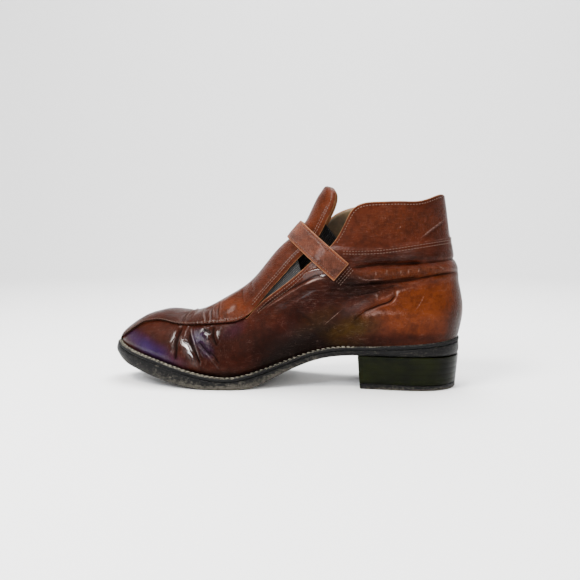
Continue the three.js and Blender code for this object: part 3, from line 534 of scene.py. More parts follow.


# Where the polish is dull, and where fine wrinkles lie along the foot or across it, with painted shade
# in their grooves and painted highlight on their crests.
SURFACE = {
    "dull": (
        (122, 38, 34, 24, 25, 1.3), (186, 62, 32, 18, 30, 0.6), (150, 30, 34, 14, 30, 0.7),
        (150, 58, 24, 13, 34, 1.0), (262, 137, 34, 14, 0, 0.35), (32, 44, 14, 8, 0, 0.4),
        (186, 42, 40, 11, 24, 1.0), (228, 40, 40, 7, 4, 0.8), (112, 12, 60, 8, 0, 0.8),
        (268, 46, 40, 8, 2, 0.6), (222, 84, 30, 5, 3, 0.5),
    ),
    "gloss": (
        (78.5, 30.5, 11, 4.6, -50, 1.3), (73, 43, 2.2, 6, 8, 0.7), (64, 37, 3, 8, 0, 0.6),
        (90, 46, 5, 2.6, -35, 1.3), (100.5, 45, 2.8, 9, 0, 1.3), (184, 96.5, 17, 4.5, 16, 0.9),
        (216, 72, 13, 6, 30, 0.3), (30, 34, 30, 9, -20, 0.3),
    ),
    "slack": (
        (214, 84, 34, 12, 4, 1.0), (250, 97, 46, 5, 4, 0.45), (232, 111, 50, 5, 4, 0.5),
        (245, 136, 44, 14, 10, 0.35), (180, 78, 22, 9, 28, 0.6), (152, 68, 22, 5, 34, 0.6),
    ),
    "flex": (
        (84, 36, 20, 18, 0, 1.0), (104, 40, 14, 14, 0, 0.5), (250, 97, 40, 4, 4, 0.7),
        (256, 135, 40, 14, 0, 0.3), (64, 36, 8, 18, 0, 0.6),
    ),
}


def patch(x, z, px, pz, rx, rz, tilt, strength, seed=0):
    """A soft oval of a given strength, its outline wavering, seen from the side."""
    turn = math.radians(tilt)
    u = ((x - px) * math.cos(turn) + (z - pz) * math.sin(turn)) / rx
    v = (-(x - px) * math.sin(turn) + (z - pz) * math.cos(turn)) / rz
    waver = 0.25 * ripple(x, 0 * x, z, length=14, seed=seed + int(px))
    return strength * smoothstep(1.5, 0.2, np.hypot(u, v) + waver)


def surface_layers(x, z):
    """The attributes dull, gloss, slack and flex: each the greatest of its patches."""
    return {
        name: np.max([patch(x, z, *row) for row in rows], axis=0)
        for name, rows in SURFACE.items()
    }


def course_distance(x, z, course):
    """Distance of points from a smooth line through the course's points, and the share along it."""
    course = np.array(course, dtype=float)
    reach = reach_of(course)
    samples = Curve(reach, course)(np.linspace(0, reach[-1], COURSE_STEPS))
    best = np.full(x.shape, 1e9)
    share = np.zeros(x.shape)
    for i in range(len(samples) - 1):
        start, run = samples[i], samples[i + 1] - samples[i]
        t = np.clip(((x - start[0]) * run[0] + (z - start[1]) * run[1]) / (run @ run), 0, 1)
        away = np.hypot(x - start[0] - t * run[0], z - start[1] - t * run[1])
        closer = away < best
        best = np.where(closer, away, best)
        share = np.where(closer, (i + t) / (len(samples) - 1), share)
    return best, share


def ripple(x, y, z, length, seed):
    """Soft irregular waves: a sum of eight sines in fixed random directions."""
    rng = np.random.default_rng(seed)
    total = 0
    for _ in range(8):
        turn = unit(rng.normal(size=3)) * 2 * math.pi / (length * rng.uniform(0.7, 1.5))
        total = total + np.sin(turn[0] * x + turn[1] * y + turn[2] * z + rng.uniform(0, 6.3))
    return total / 8


def fold_relief(x, z, folds, strength=1.0):
    """Height, and rubbing and painted light, of a set of folds: each is a bell across its course,
    faded at both ends.
    """
    height = np.zeros(x.shape)
    rub = np.zeros(x.shape)
    for _, tall, wide, worn, course in folds:
        corner = np.array(course)
        low, high = corner.min(0) - 4 * wide, corner.max(0) + 4 * wide
        near = (x > low[0]) & (x < high[0]) & (z > low[1]) & (z < high[1])
        if not near.any():
            continue
        away, share = course_distance(x[near], z[near], course)
        faded = 0.16 if abs(tall) > 1 else 0.34
        fade = smoothstep(0, faded, share) * smoothstep(0, faded, 1 - share)
        across = np.exp(-((away / wide) ** (1.4 if tall < 0 else 2)))
        height[near] += strength * tall * across * fade
        rub[near] += worn * bell(away, 0.8 * wide) * fade
    return height, rub


def upper_relief(side, point):
    """Height of the leather over the smooth surface, and its rubbing and painted light: rubbed pale
    and painted highlight above 0, painted shade and dark seams below.

    The height is the sum of the folds, a step down at the collar's seam with its lip, grooves
    under the two stitched rows and along the back seam, and two soft irregular waves. Folds die
    away at the welt. The lateral side carries the same folds, moved and eased a little.
    """
    shift = np.where(side > 0, 2.5 * np.sin(point[..., 2] / 17), 0)
    x, y, z = point[..., 0] + shift, point[..., 1], point[..., 2]
    ease = np.where(side > 0, LATERAL_EASE, 1.0)
    height, rub = fold_relief(x, z, FOLDS)
    # Pale scratches, and painted highlight from the two broad marks.
    for pale, wide, course in SCRATCHES_AND_SHEEN:
        away, share = course_distance(x, z, course)
        rub = rub + pale * bell(away, wide) * np.sin(share * math.pi) ** 0.5
    behind = smoothstep(178, 186, x)
    seam = COLLAR_LINE(np.clip(x, 180, 300))
    step = -COLLAR_STEP * smoothstep(-0.35, 0.35, z - seam) * behind
    lip = 0.35 * bell(z - seam + 0.7, 0.7) * behind
    rub = rub + 0.8 * bell(z - seam + 0.35, 0.4) * behind
    join = bell(y, 1.0) * smoothstep(276, 288, x)
    height, rub = height - 0.4 * join, rub - 0.9 * join
    for drop in COLLAR_ROWS:
        height = height - 0.22 * bell(z - seam + drop, 0.8) * behind
    waves = 0.22 * ripple(x, y, z, length=26, seed=3) + 0.10 * ripple(x, y, z, length=9, seed=4)
    tight = 0.35 + 0.65 * smoothstep(40, 70, x) * (1 - 0.6 * smoothstep(236, 262, x) * (z < 88))
    held = smoothstep(-1, 8, z - WELT_TOP(x))
    return ease * held * height + step + lip + waves * tight, rub


def tint_of(x, y, z, colours):
    """The leather's colour: chestnut, with each soft patch laid over it in turn: tones of the dye,
    painted shade, and painted violet and olive sheen.

    The violet sheen is fainter on the lateral side.
    """
    tint = colours["chestnut"]
    for tone, *row in PATCHES:
        cover = patch(x, z, *row, seed=len(tone))
        if tone == "plum":
            cover = cover * np.where(y > 0, LATERAL_SHARE, 1)
        tint = mix(tint, colours[tone], cover[..., None])
    return tint


def topline(side):
    """The upper's trimmed edge as one line of x and z, each stretch a smooth curve."""
    parts = []
    for edge in (VAMP_EDGE, QUARTER_EDGE):
        points = np.stack([edge["x"] - (edge["lead"] if side > 0 else 0), edge["z"]], -1)
        reach = reach_of(points)
        parts.append(Curve(reach, points)(np.linspace(0, reach[-1], EDGE_STEPS)))
    return np.concatenate([parts[0][:-1], parts[1]])


TOPLINES = {MEDIAL: topline(MEDIAL), LATERAL: topline(LATERAL)}


def cut_level(side, angle):
    """The level at which each column crosses the trimmed edge, or 1 where it never does."""
    levels = np.linspace(0.3, 1, 240)
    grid = body(side[:, None], angle[:, None], levels[None])
    heights = [np.interp(grid[..., 0], *TOPLINES[s].T) for s in (MEDIAL, LATERAL)]
    over = grid[..., 2] - np.where(side[:, None] < 0, heights[0], heights[1])
    over[:, -1] = np.where(over[:, :-1].max(1) > 0, over[:, -1], 1)
    first = np.argmax(over > 0, axis=1)
    before = np.maximum(first - 1, 0)
    pick = np.arange(len(angle))
    low, high = over[pick, before], over[pick, first]
    share = np.where(high - low > 1e-9, np.clip(-low / (high - low), 0, 1), 0)
    closed = over[:, :-1].max(1) <= 0
    return np.where(closed, 1.0, levels[before] + share * (levels[1] - levels[0]))


def even_angles(count, closer=0.0):
    """Angles at equal steps of length along the feather line, or closer together over the ball."""
    angle = np.linspace(0, math.pi, 2000)
    x, y = outline(np.full_like(angle, MEDIAL), angle)
    weight = 1 + closer * bell(x[1:] - 84, 28)
    reach = np.concatenate([[0], np.cumsum(np.hypot(np.diff(x), np.diff(y)) * weight)])
    return np.interp(np.linspace(0, reach[-1], count), reach, angle)


def ring(count, lateral=None, closer=0.0):
    """Side and angle once round the foot: toe, medial side, heel, lateral side."""
    angle = even_angles(count, closer)
    back = even_angles(lateral or count, closer / 2)[-2:0:-1]
    side = np.concatenate([np.full(count, MEDIAL), np.full(len(back), LATERAL)])
    return side, np.concatenate([angle, back])


# Meshes


def grid_faces(rows, columns, wrap_rows=False, wrap_columns=False):
    """Quads of a grid of points, joined end to end where it wraps."""
    i = np.arange(rows if wrap_rows else rows - 1)
    j = np.arange(columns if wrap_columns else columns - 1)
    i, j = np.meshgrid(i, j, indexing="ij")
    i1, j1 = (i + 1) % rows, (j + 1) % columns
    here, above = i * columns, i1 * columns
    return np.stack([here + j, here + j1, above + j1, above + j], -1).reshape(-1, 4)


def quads_across(steps, total):
    """Quads that close a flat loop: each joins two points with the two across from them."""
    i = np.arange(steps)
    return np.stack([i, i + 1, total - i - 1, total - i], -1)


def fan_faces(loop, hub):
    """Triangles from a closed loop of points to a hub, as quads whose last two corners are one."""
    hubs = np.full(len(loop), hub)
    return np.stack([loop, np.roll(loop, -1), hubs, hubs], -1)


def facing_out(points, faces):
    """The faces, turned round if the solid they close has a negative volume."""
    a, b, c, d = (points[faces[:, k]] for k in range(4))
    volume = np.sum(np.cross(a, b) * c) + np.sum(np.cross(a, c) * d)
    return faces if volume > 0 else faces[:, ::-1]


def make_piece(name, points, faces, material, replaced=(), slot=None, **layers):
    """A smooth mesh from points in the maker's millimetres, riding on the boot.

    A layer is an attribute with a number, or a colour, for each point.
    """
    points = points.reshape(-1, 3)
    mesh = bpy.data.meshes.new(name)
    place = (points + TO_FRAME) / 1000
    faces = facing_out(points, faces)
    same = faces[:, 2] == faces[:, 3]
    if same.any() or (faces[:, 0] == faces[:, 1]).any() or (faces[:, 0] == faces[:, 3]).any():
        loops = [list(dict.fromkeys(face)) for face in faces.tolist()]
        mesh.from_pydata(place.tolist(), [], [face for face in loops if len(face) > 2])
    else:
        mesh.vertices.add(len(place))
        mesh.vertices.foreach_set("co", place.astype(np.float32).ravel())
        mesh.loops.add(faces.size)
        mesh.loops.foreach_set("vertex_index", faces.astype(np.int32).ravel())
        mesh.polygons.add(len(faces))
        mesh.polygons.foreach_set("loop_start", np.arange(0, faces.size, 4, dtype=np.int32))
    mesh.update(calc_edges=True)
    mesh.polygons.foreach_set("use_smooth", np.ones(len(mesh.polygons), dtype=bool))
    for layer, values in layers.items():
        values = np.asarray(values, dtype=np.float32).reshape(len(points), -1)
        kind, field = "FLOAT", "value"
        if values.shape[1] == 3:
            kind, field = "FLOAT_COLOR", "color"
            values = np.concatenate([values, np.ones((len(values), 1), np.float32)], 1)
        mesh.attributes.new(layer, kind, "POINT").data.foreach_set(field, values.ravel())
    mesh.materials.append(material)
    piece = bpy.data.objects.new(name, mesh)
    bpy.context.scene.collection.objects.link(piece)
    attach(piece, "root")
    if replaced:
        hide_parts(*replaced)


def sheet_normals(sheet):
    """Unit normals of a grid of points, from its neighbours along and across, facing up."""
    normals = unit(np.cross(np.gradient(sheet, axis=0), np.gradient(sheet, axis=1)))
    return normals if np.mean(normals[..., 2]) > 0 else -normals


# Node trees


class Value:
    """A shader socket that takes part in sums: each operation adds one Math node."""

    def __init__(self, shade, socket):
        self.shade = shade
        self.socket = socket

    def _math(self, operation, a, b):
        return self.shade.node("ShaderNodeMath", {"operation": operation}, {0: a, 1: b})

    def __add__(self, other):
        return self._math("ADD", self, other)

    def __radd__(self, other):
        return self._math("ADD", other, self)

    def __sub__(self, other):
        return self._math("SUBTRACT", self, other)

    def __rsub__(self, other):
        return self._math("SUBTRACT", other, self)

    def __mul__(self, other):
        return self._math("MULTIPLY", self, other)

    def __rmul__(self, other):
        return self._math("MULTIPLY", other, self)

    def smooth(self, low, high):
        """0 below low, 1 above high, smooth between."""
        return self.shade.node(
            "ShaderNodeMapRange", {"interpolation_type": "SMOOTHSTEP"},
            {"Value": self, "From Min": low, "From Max": high},
        )


class Finish:
    """A material's node tree, built on its Principled shader."""

    def __init__(self, name):
        self.material = bpy.data.materials.new(name)
        self.material.use_nodes = True
        self.tree = self.material.node_tree
        self.shader = self.tree.nodes["Principled BSDF"]

    def node(self, kind, settings=None, inputs=None, output=0):
        """Any node: its settings first, then the values or links of its sockets."""
        made = self.tree.nodes.new(kind)
        for key, value in (settings or {}).items():
            setattr(made, key, value)
        for key, value in (inputs or {}).items():
            self.feed(made.inputs[key], value)
        return Value(self, made.outputs[output])

    def feed(self, socket, value):
        """Links a value to a socket, or sets the socket's own number or colour."""
        if isinstance(value, Value):
            self.tree.links.new(value.socket, socket)
        elif socket.type == "RGBA" and len(value) == 3:
            socket.default_value = (*value, 1)
        else:
            socket.default_value = value

    def place(self, stretch=(1, 1, 1), turn=(0, 0, 0)):
        """Object coordinates, stretched and turned."""
        where = self.node("ShaderNodeTexCoord", output="Object")
        inputs = {"Vector": where, "Scale": stretch, "Rotation": turn}
        return self.node("ShaderNodeMapping", inputs=inputs)

    def noise(self, where, scale, detail=3.0, rough=0.5, distortion=0.0):
        """Fractal noise, 0 to 1."""
        inputs = {"Vector": where, "Scale": scale, "Detail": detail, "Roughness": rough}
        return self.node("ShaderNodeTexNoise", inputs={**inputs, "Distortion": distortion})

    def cells(self, where, scale, feature="F1"):
        """Distance inside a pattern of cells."""
        inputs = {"Vector": where, "Scale": scale}
        return self.node("ShaderNodeTexVoronoi", {"feature": feature}, inputs)

    def layer(self, name, colour=False):
        """The piece's own attribute, as a number or a colour."""
        output = "Color" if colour else "Fac"
        return self.node("ShaderNodeAttribute", {"attribute_name": name}, output=output)

    def blend(self, factor, a, b, mode="MIX"):
        """Two colours mixed by a factor."""
        return self.node(
            "ShaderNodeMix", {"data_type": "RGBA", "blend_type": mode, "clamp_factor": True},
            {0: factor, 6: a, 7: b}, output=2,
        )

    def grey(self, value):
        """A number as a grey colour."""
        return self.node("ShaderNodeCombineColor", inputs={0: value, 1: value, 2: value})

    def bump(self, height, strength, distance, under=None):
        """A bump map over another one."""
        inputs = {"Height": height, "Strength": strength, "Distance": distance}
        if under is not None:
            inputs["Normal"] = under
        return self.node("ShaderNodeBump", inputs=inputs)

    def done(self, **sockets):
        """Feeds the shader's sockets, named with underscores for spaces, and gives the material."""
        for key, value in sockets.items():
            socket = key.replace("_", " ").title().replace("Ior", "IOR")
            self.feed(self.shader.inputs[socket], value)
        return self.material


def burnished_leather(name, shine=0.0, coat=0.055):
    """Polished leather: mottled tint, painted shade in creases, ridges rubbed pale with painted
    highlight, and a waxed coat.

    Reads the layers tint (colour, with patches of painted shade and painted sheen), the rubbing layer
    (rubbed pale and painted highlight above 0, painted shade below), edge (raw cut edge), dull (polish
    gone), gloss (thick polish), and slack and flex (wrinkles along the foot and across it, with
    painted shade in their grooves and painted highlight on their crests).
    """
    palette = bpy.context.scene.boot_colours
    finish = Finish(name)
    where = finish.place()
    cloud = finish.noise(where, 55, 5, 0.62, 0.4)
    mottle = finish.noise(where, 240, 4, 0.6)
    grain = finish.noise(where, 1500, 3, 0.6)
    pore = finish.cells(where, 1900)
    rub = finish.layer("rub")
    edge = finish.layer("edge")
    tint = finish.layer("tint", colour=True)
    cloudy = finish.grey(0.5 + cloud.smooth(0.3, 0.7) * 0.4 + mottle.smooth(0.34, 0.66) * 0.4)
    colour = finish.blend(1.0, tint, cloudy, "MULTIPLY")
    colour = finish.blend(mottle.smooth(0.56, 0.72) * 0.28, colour, palette.oxblood)
    hair = finish.noise(finish.place((70, 70, 210), (0, 0.35, 0)), 1.0, 5, 0.55, 1.2) - 0.5
    hair = (1.0 - hair * hair * 14000.0).smooth(0.0, 1.0) * cloud.smooth(0.42, 0.6)
    colour = finish.blend(hair * 0.08, colour, palette.rubbed_and_highlight)
    along = finish.noise(finish.place((170, 300, 1500), (0, 0.08, 0)), 1.0, 4, 0.6, 0.7)
    across = finish.noise(finish.place((1300, 500, 260), (0, 0.45, 0)), 1.0, 4, 0.6, 0.7)
    slack, flex, gloss = (finish.layer(name) for name in ("slack", "flex", "gloss"))
    # Painted shade in the grooves of the fine wrinkles, and painted highlight on their crests.
    groove = (0.0 - along).smooth(-0.47, -0.36) * slack + (0.0 - across).smooth(-0.47, -0.36) * flex
    colour = finish.blend(groove * 0.75, colour, palette.soot)
    crest = along.smooth(0.56, 0.68) * slack + across.smooth(0.56, 0.68) * flex
    colour = finish.blend(crest * 0.15, colour, palette.rubbed_and_highlight)
    # Painted shade where the rubbing layer is below 0, in the bottoms of folds and the strap's
    # grooves, with the dark seams.
    shade_and_dark_seams = (0.0 - rub).smooth(0.05, 1.0)
    colour = finish.blend(shade_and_dark_seams * 0.8, colour, palette.soot)
    # Pale where the rubbing layer is above 0: rubbed wear and scratches, with painted highlight on
    # fold tops and the counter.
    pale = (rub + (grain - 0.5) * 1.3 + (mottle - 0.5) * 0.6).smooth(0.4, 1.7)
    colour = finish.blend(pale * 0.55, colour, palette.rubbed_and_highlight)
    raw = (edge + (mottle - 0.5) * 0.7).smooth(0.5, 0.95)
    colour = finish.blend(raw * 0.65, colour, palette.cut_edge)
    dull = finish.layer("dull")
    rough = 0.22 + cloud * 0.14 + mottle * 0.1 + shade_and_dark_seams * 0.2 + raw * 0.25
    rough = rough + dull * 0.26 - pale * 0.12 - shine
    crackle = finish.cells(finish.place((1, 1, 1.4)), 420, "DISTANCE_TO_EDGE").smooth(0.0, 0.12)
    wrinkle = along * slack + across * flex
    relief = finish.bump(grain + pore * 0.6, 0.35, 0.00025)
    relief = finish.bump(crackle, 0.35, 0.0003, relief)
    relief = finish.bump(wrinkle, 1.0, 0.0028, relief)
    relief = finish.bump(cloud + mottle * 0.5, 0.2, 0.0018, relief)
    return finish.done(
        base_color=colour, roughness=rough, normal=relief, specular_ior_level=0.06,
        specular_tint=palette.polish,
        coat_weight=(coat + gloss * 0.75) * (1.0 - dull) * (1.0 - shade_and_dark_seams * 0.9),
        coat_roughness=0.13,
    )


def lining_leather(name):
    """Worn tan lining leather, greyer and darker lower down: a painted shade deep inside the boot."""
    palette = bpy.context.scene.boot_colours
    finish = Finish(name)
    where = finish.place()
    cloud = finish.noise(where, 60, 5, 0.6)
    grain = finish.noise(where, 1600, 3, 0.6)
    deep = finish.layer("deep")
    colour = finish.blend(cloud.smooth(0.3, 0.75), palette.lining, palette.lining_worn)
    # Painted shade from the depth layer.
    colour = finish.blend(deep * 0.75, colour, palette.soot)
    relief = finish.bump(grain, 0.3, 0.0003, finish.bump(cloud, 0.3, 0.002))
    return finish.done(base_color=colour, roughness=0.68 + cloud * 0.15, normal=relief)


def woven_elastic(name):
    """Ribbed elastic: fine ribs along the layer run, crossed by a finer weave, with painted shade from
    its depth layer.
    """
    palette = bpy.context.scene.boot_colours
    finish = Finish(name)
    run = finish.layer("run")
    across = finish.layer("across")
    rib, weave = (
        finish.node("ShaderNodeMath", {"operation": "SINE"}, {0: layer * 6.283})
        for layer in (across, run)
    )
    dust = finish.noise(finish.place(), 900, 3)
    shade = 0.62 + rib * 0.16 + weave * 0.10 + dust * 0.35
    colour = finish.blend(1.0, palette.elastic, finish.grey(shade), "MULTIPLY")
    # Painted shade where the gore lies deep in the throat.
    colour = finish.blend(finish.layer("deep"), colour, palette.soot)
    relief = finish.bump(rib + weave * 0.4, 0.7, 0.0004)
    return finish.done(
        base_color=colour, roughness=0.9, normal=relief, sheen_weight=0.1, sheen_roughness=0.5
    )


def waxed_thread(name, colour):
    """Thread with a light twist."""
    finish = Finish(name)
    fray = finish.noise(finish.place(), 2600, 2)
    shade = finish.blend(1.0, colour, finish.grey(0.65 + fray * 0.7), "MULTIPLY")
    return finish.done(base_color=shade, roughness=0.6, normal=finish.bump(fray, 0.4, 0.0002))


def worn_welt(name):
    """Pale worn leather edge with dark dirt in its grain."""
    palette = bpy.context.scene.boot_colours
    finish = Finish(name)
    where = finish.place()
    streak = finish.noise(finish.place((300, 300, 1400)), 1.0, 4, 0.65)
    speck = finish.noise(where, 520, 4, 0.7)
    dirt = (speck * 0.75 + streak * 0.5).smooth(0.48, 0.66)
    colour = finish.blend(dirt, palette.welt, palette.welt_dirt)
    # Sole colour on the lower edge and towards the heel, and painted shade on the top where it runs in
    # under the upper.
    low = finish.layer("low")
    colour = finish.blend(low, colour, palette.sole)
    relief = finish.bump(speck + streak, 0.7, 0.0005)
    rough = 0.6 + dirt * 0.15
    return finish.done(base_color=colour, roughness=rough, normal=relief, specular_ior_level=0.12)


def worn_sole(name):
    """Black sole edge: scuffed grey and brown along the tread, with fine lengthwise scratches."""
    palette = bpy.context.scene.boot_colours
    finish = Finish(name)
    where = finish.place()
    scratch = finish.noise(finish.place((180, 180, 1500)), 1.0, 5, 0.7)
    speck = finish.noise(where, 420, 5, 0.72)
    cloud = finish.noise(where, 60, 3, 0.5)
    worn = finish.layer("worn")
    scuff = (speck * 0.55 + scratch * 0.45 + worn * 0.2 + cloud * 0.16).smooth(0.6, 0.8)
    colour = finish.blend(scuff * 0.75, palette.sole, palette.sole_scuff)
    relief = finish.bump(speck + scratch * 0.8, 0.6, 0.0006)
    rough = 0.42 + scuff * 0.4
    return finish.done(base_color=colour, roughness=rough, normal=relief, specular_ior_level=0.07)


def lacquered_heel(name):
    """Stacked heel under dark lacquer: faint layers, a green cast and a soft gloss."""
    palette = bpy.context.scene.boot_colours
    finish = Finish(name)
    where = finish.place()
    layer = finish.noise(finish.place((30, 30, 700)), 1.0, 3, 0.5)
    cloud = finish.noise(where, 40, 4, 0.55)
    speck = finish.noise(where, 700, 4, 0.7)
    colour = finish.blend(cloud.smooth(0.35, 0.7), palette.heel, palette.heel_green)
    nick = speck.smooth(0.68, 0.8)
    colour = finish.blend(nick * 0.3, colour, palette.sole_scuff)
    relief = finish.bump(layer + speck * 0.3, 0.25, 0.0004)
    return finish.done(
        base_color=colour, roughness=0.26 + cloud * 0.16 + nick * 0.2, normal=relief,
        specular_ior_level=0.04, coat_weight=0.02, coat_roughness=0.2,
    )


# Pieces


def size_property(name, description, default, low, high):
    """A size that a user may change."""
    return bpy.props.FloatProperty(
        name=name, description=description, default=default, min=low, max=high
    )


class BootSizes(bpy.types.PropertyGroup):
    """Sizes that can be changed without leaving the frame."""

    stitch_pitch: size_property("Stitch pitch", "Length of a stitch and its gap, mm", 2.5, 1.5, 5)
    stitch_thick: size_property("Thread", "Thickness of the upper's thread, mm", 0.55, 0.3, 1)
    welt_pitch: size_property("Welt pitch", "Length of a welt stitch and its gap, mm", 4.2, 3, 7)
    fold_strength: size_property("Folds", "Height of the leather's folds, 1 as worn", 1.0, 0, 1.5)
    pucker: size_property("Pucker", "Height of the vamp seam's gathers, mm", 0.34, 0, 0.6)


def colour_property(name, description, value):
    """A colour that a user may change."""
    return bpy.props.FloatVectorProperty(
        name=name, description=description, default=value, size=3, min=0, max=1, subtype="COLOR"
    )


class BootColours(bpy.types.PropertyGroup):
    """Colours of leather, thread, elastic, welt, sole and floor."""

    chestnut: colour_property("Chestnut", "Main colour of the leather", (0.034, 0.0062, 0.0021))
    amber: colour_property("Amber", "Leather where the dye is thin", (0.074, 0.0145, 0.0021))
    oxblood: colour_property("Oxblood", "Leather where the dye is dark", (0.0105, 0.0018, 0.001))
    # Painted shade: creases, wrinkle grooves, the hollow of the arch, the line along the welt, the
    # back edge, and inside the lining, gores and insole.
    soot: colour_property("Painted shade", "Polish gathered in creases", (0.0015, 0.001, 0.0009))
    # Painted violet sheen on the toe and vamp, fainter on the lateral side.
    plum: colour_property("Plum", "Violet cast of the polish", (0.0105, 0.0032, 0.026))
    # Painted olive reflection at the waist.
    olive: colour_property("Olive", "Yellow-brown cast at the waist", (0.018, 0.0085, 0.0006))
    polish: colour_property("Polish", "Tint of the leather's reflections", (1.0, 0.6, 0.48))
    # Pale of rubbed ridges and scratches, and painted highlight on fold tops, wrinkle crests and the
    # heel counter.
    rubbed_and_highlight: colour_property("Rubbed and highlight", "Leather rubbed pale on its ridges", (0.3, 0.2, 0.17))
    cut_edge: colour_property("Cut edge", "Raw edge of the leather", (0.26, 0.12, 0.055))
    thread: colour_property("Thread", "Thread of the upper", (0.066, 0.033, 0.019))
    thread_dark: colour_property("Dark thread", "Thread of the strap", (0.045, 0.02, 0.012))
    lining: colour_property("Lining", "Lining leather", (0.12, 0.075, 0.032))
    lining_worn: colour_property("Worn lining", "Lining that the foot rubs", (0.05, 0.032, 0.015))
    elastic: colour_property("Elastic", "Elastic of the gores", (0.034, 0.029, 0.026))
    welt: colour_property("Welt", "Worn edge of the welt", (0.22, 0.2, 0.15))
    welt_dirt: colour_property("Welt dirt", "Dirt in the welt's grain", (0.02, 0.019, 0.016))
    sole: colour_property("Sole", "Edge of the sole", (0.0032, 0.0032, 0.0034))
    sole_scuff: colour_property("Scuffs", "Scuffs on sole and heel", (0.075, 0.068, 0.055))
    heel: colour_property("Heel", "Lacquer of the heel", (0.0014, 0.0017, 0.0008))
    heel_green: colour_property("Heel cast", "Green cast of the lacquer", (0.0042, 0.0055, 0.0006))
    floor: colour_property("Floor", "Floor and backdrop", (0.86, 0.86, 0.86))


def palette_table(context):
    """The leather's tones by name, as arrays."""
    palette = context.scene.boot_colours
    return {tone: np.array(tuple(getattr(palette, tone))) for tone in LEATHER_TONES}


def upper_grid(columns, rows, lateral=None, closer=0.0, whole=True):
    """Side, angle and level of a net over the upper, each column ending on its trimmed edge.

    The leather itself ends a little way under the strip.
    """
    side, angle = ring(columns, lateral, closer)
    cut = cut_level(side, angle)
    if not whole:
        under = seam_level(angle) + 0.09 + 0.4 * smoothstep(112, 121, foot_x(angle))
        cut = np.where(foot_x(angle) < 121, np.minimum(cut, under), cut)
    level = np.linspace(0, 1, rows)[:, None] * cut[None]
    shape = level.shape
    return np.broadcast_to(side, shape), np.broadcast_to(angle, shape), level


def upper_surface(side, angle, level, strength=1.0):
    """The upper with its folds: smooth surface plus relief along the normal."""
    point = body(side, angle, level)
    normal = body_normal(side, angle, level)
    height, rub = upper_relief(side, point)
    return point, normal, height * strength, rub


def lowest_near(height, reach=6):
    """The lowest relief within a few rows, never above 0, which a layer behind keeps clear of."""
    padded = np.pad(np.minimum(height, 0), ((reach, reach), (0, 0)), mode="edge")
    return np.min([padded[k : k + len(height)] for k in range(2 * reach + 1)], axis=0)


class BOOT_OT_upper(bpy.types.Operator):
    """Vamp and quarters: one leather wall with its folds, trimmed and rolled over at the edge"""

    bl_idname = "boot.upper"
    bl_label = "Upper"

    def execute(self, context):
        strength = context.scene.boot_sizes.fold_strength
        side, angle, level = upper_grid(columns=410, rows=128, lateral=226, closer=1.3, whole=False)
        point, normal, height, rub = upper_surface(side, angle, level, strength)
        outer = point + normal * height[..., None]
        foot = outer[:1] - [0, 0, 1.6]
        foot[..., :2] -= normal[:1, :, :2] * 0.4
        rim_up = unit(outer[-1:] - outer[-3:-2])
        # The cut edge rolls over: steps into the wall and up past the cut.
        offsets = [(-0.12, 0.18), (-0.5, 0.36), (-0.9, 0.3), (-1.25, 0.1)]
        edge = np.concatenate([outer[-1:] + normal[-1:] * n + rim_up * u for n, u in offsets])
        few = np.linspace(0, len(level) - 1, INNER_ROWS).round().astype(int)
        inner = (point + normal * (lowest_near(height) - LEATHER)[..., None])[few]
        points = np.concatenate([foot, outer, edge, inner[::-1]])
        rows, columns = points.shape[:2]
        near_cut = np.zeros((rows, columns))
        reach = np.linalg.norm(outer - outer[-1:], axis=-1)
        near_cut[1 : 1 + len(outer)] = smoothstep(0.9, 0.0, reach)
        near_cut[1 + len(outer) :] = 1
        # Rubbing and painted light: rubbed pale and painted highlight on fold tops, painted shade in
        # the creases.
        worn = np.zeros((rows, columns))
        worn[1 : 1 + len(outer)] = rub
        tint = tint_of(*np.moveaxis(points, -1, 0), palette_table(context))
        surface = surface_layers(points[..., 0], points[..., 2])
        ridge = smoothstep(0.3, 0.7, worn) * smoothstep(116, 106, points[..., 0])
        shown = np.where(points[..., 1] > 0, LATERAL_SHARE, 1)
        surface["gloss"] = np.maximum(surface["gloss"], ridge) * shown
        make_piece(
            "upper_leather", points, grid_faces(rows, columns, wrap_rows=True, wrap_columns=True),
            burnished_leather("upper leather"), replaced=("upper",), slot="upper_leather",
            tint=tint, rub=worn, edge=near_cut, **surface,
        )
        return {"FINISHED"}


class BOOT_OT_lining(bpy.types.Operator):
    """Lining inside vamp and quarters"""

    bl_idname = "boot.lining"
    bl_label = "Lining"

    def execute(self, context):
        side, angle, level = upper_grid(columns=300, rows=120)
        strength = context.scene.boot_sizes.fold_strength
        point, normal, height, _ = upper_surface(side, angle, level, strength)
        low = lowest_near(height, 7)
        low = np.min([np.roll(low, k, axis=1) for k in (-2, -1, 0, 1, 2)], axis=0)
        few = np.linspace(0, len(level) - 1, LINING_ROWS).round().astype(int)
        point, normal, level_in = (a[few][:, ::2] for a in (point, normal, low - 0.2))
        outer = point + normal * (level_in - LEATHER - 0.05)[..., None]
        inner = point + normal * (level_in - WALL)[..., None]
        drop = unit(point[-1:] - point[-3:-2]) * 0.5
        outer, inner = outer - drop, inner - drop
        points = np.concatenate([outer, inner[::-1]])
        # The lining gets painted shade lower down, deep inside the boot.
        make_piece(
            "lining", points, grid_faces(*points.shape[:2], wrap_rows=True, wrap_columns=True),
            lining_leather("lining leather"), slot="insole_leather",
            deep=smoothstep(140, 95, points[..., 2]),
        )
        return {"FINISHED"}


# Strip and tongue

STRIP_FOOT, STRIP_FULL, STRIP_LAST = 7.2, 28.0, 121.0
STRIP_TOE_LEVEL = 0.06
STRIP_SEWN = (128, 118)  # the strip's edge is free above the first x and sewn below the second
PUCKER_PITCH = 3.4
STRIP_NET = (400, 121)
STRAP_NET = (41, 241)
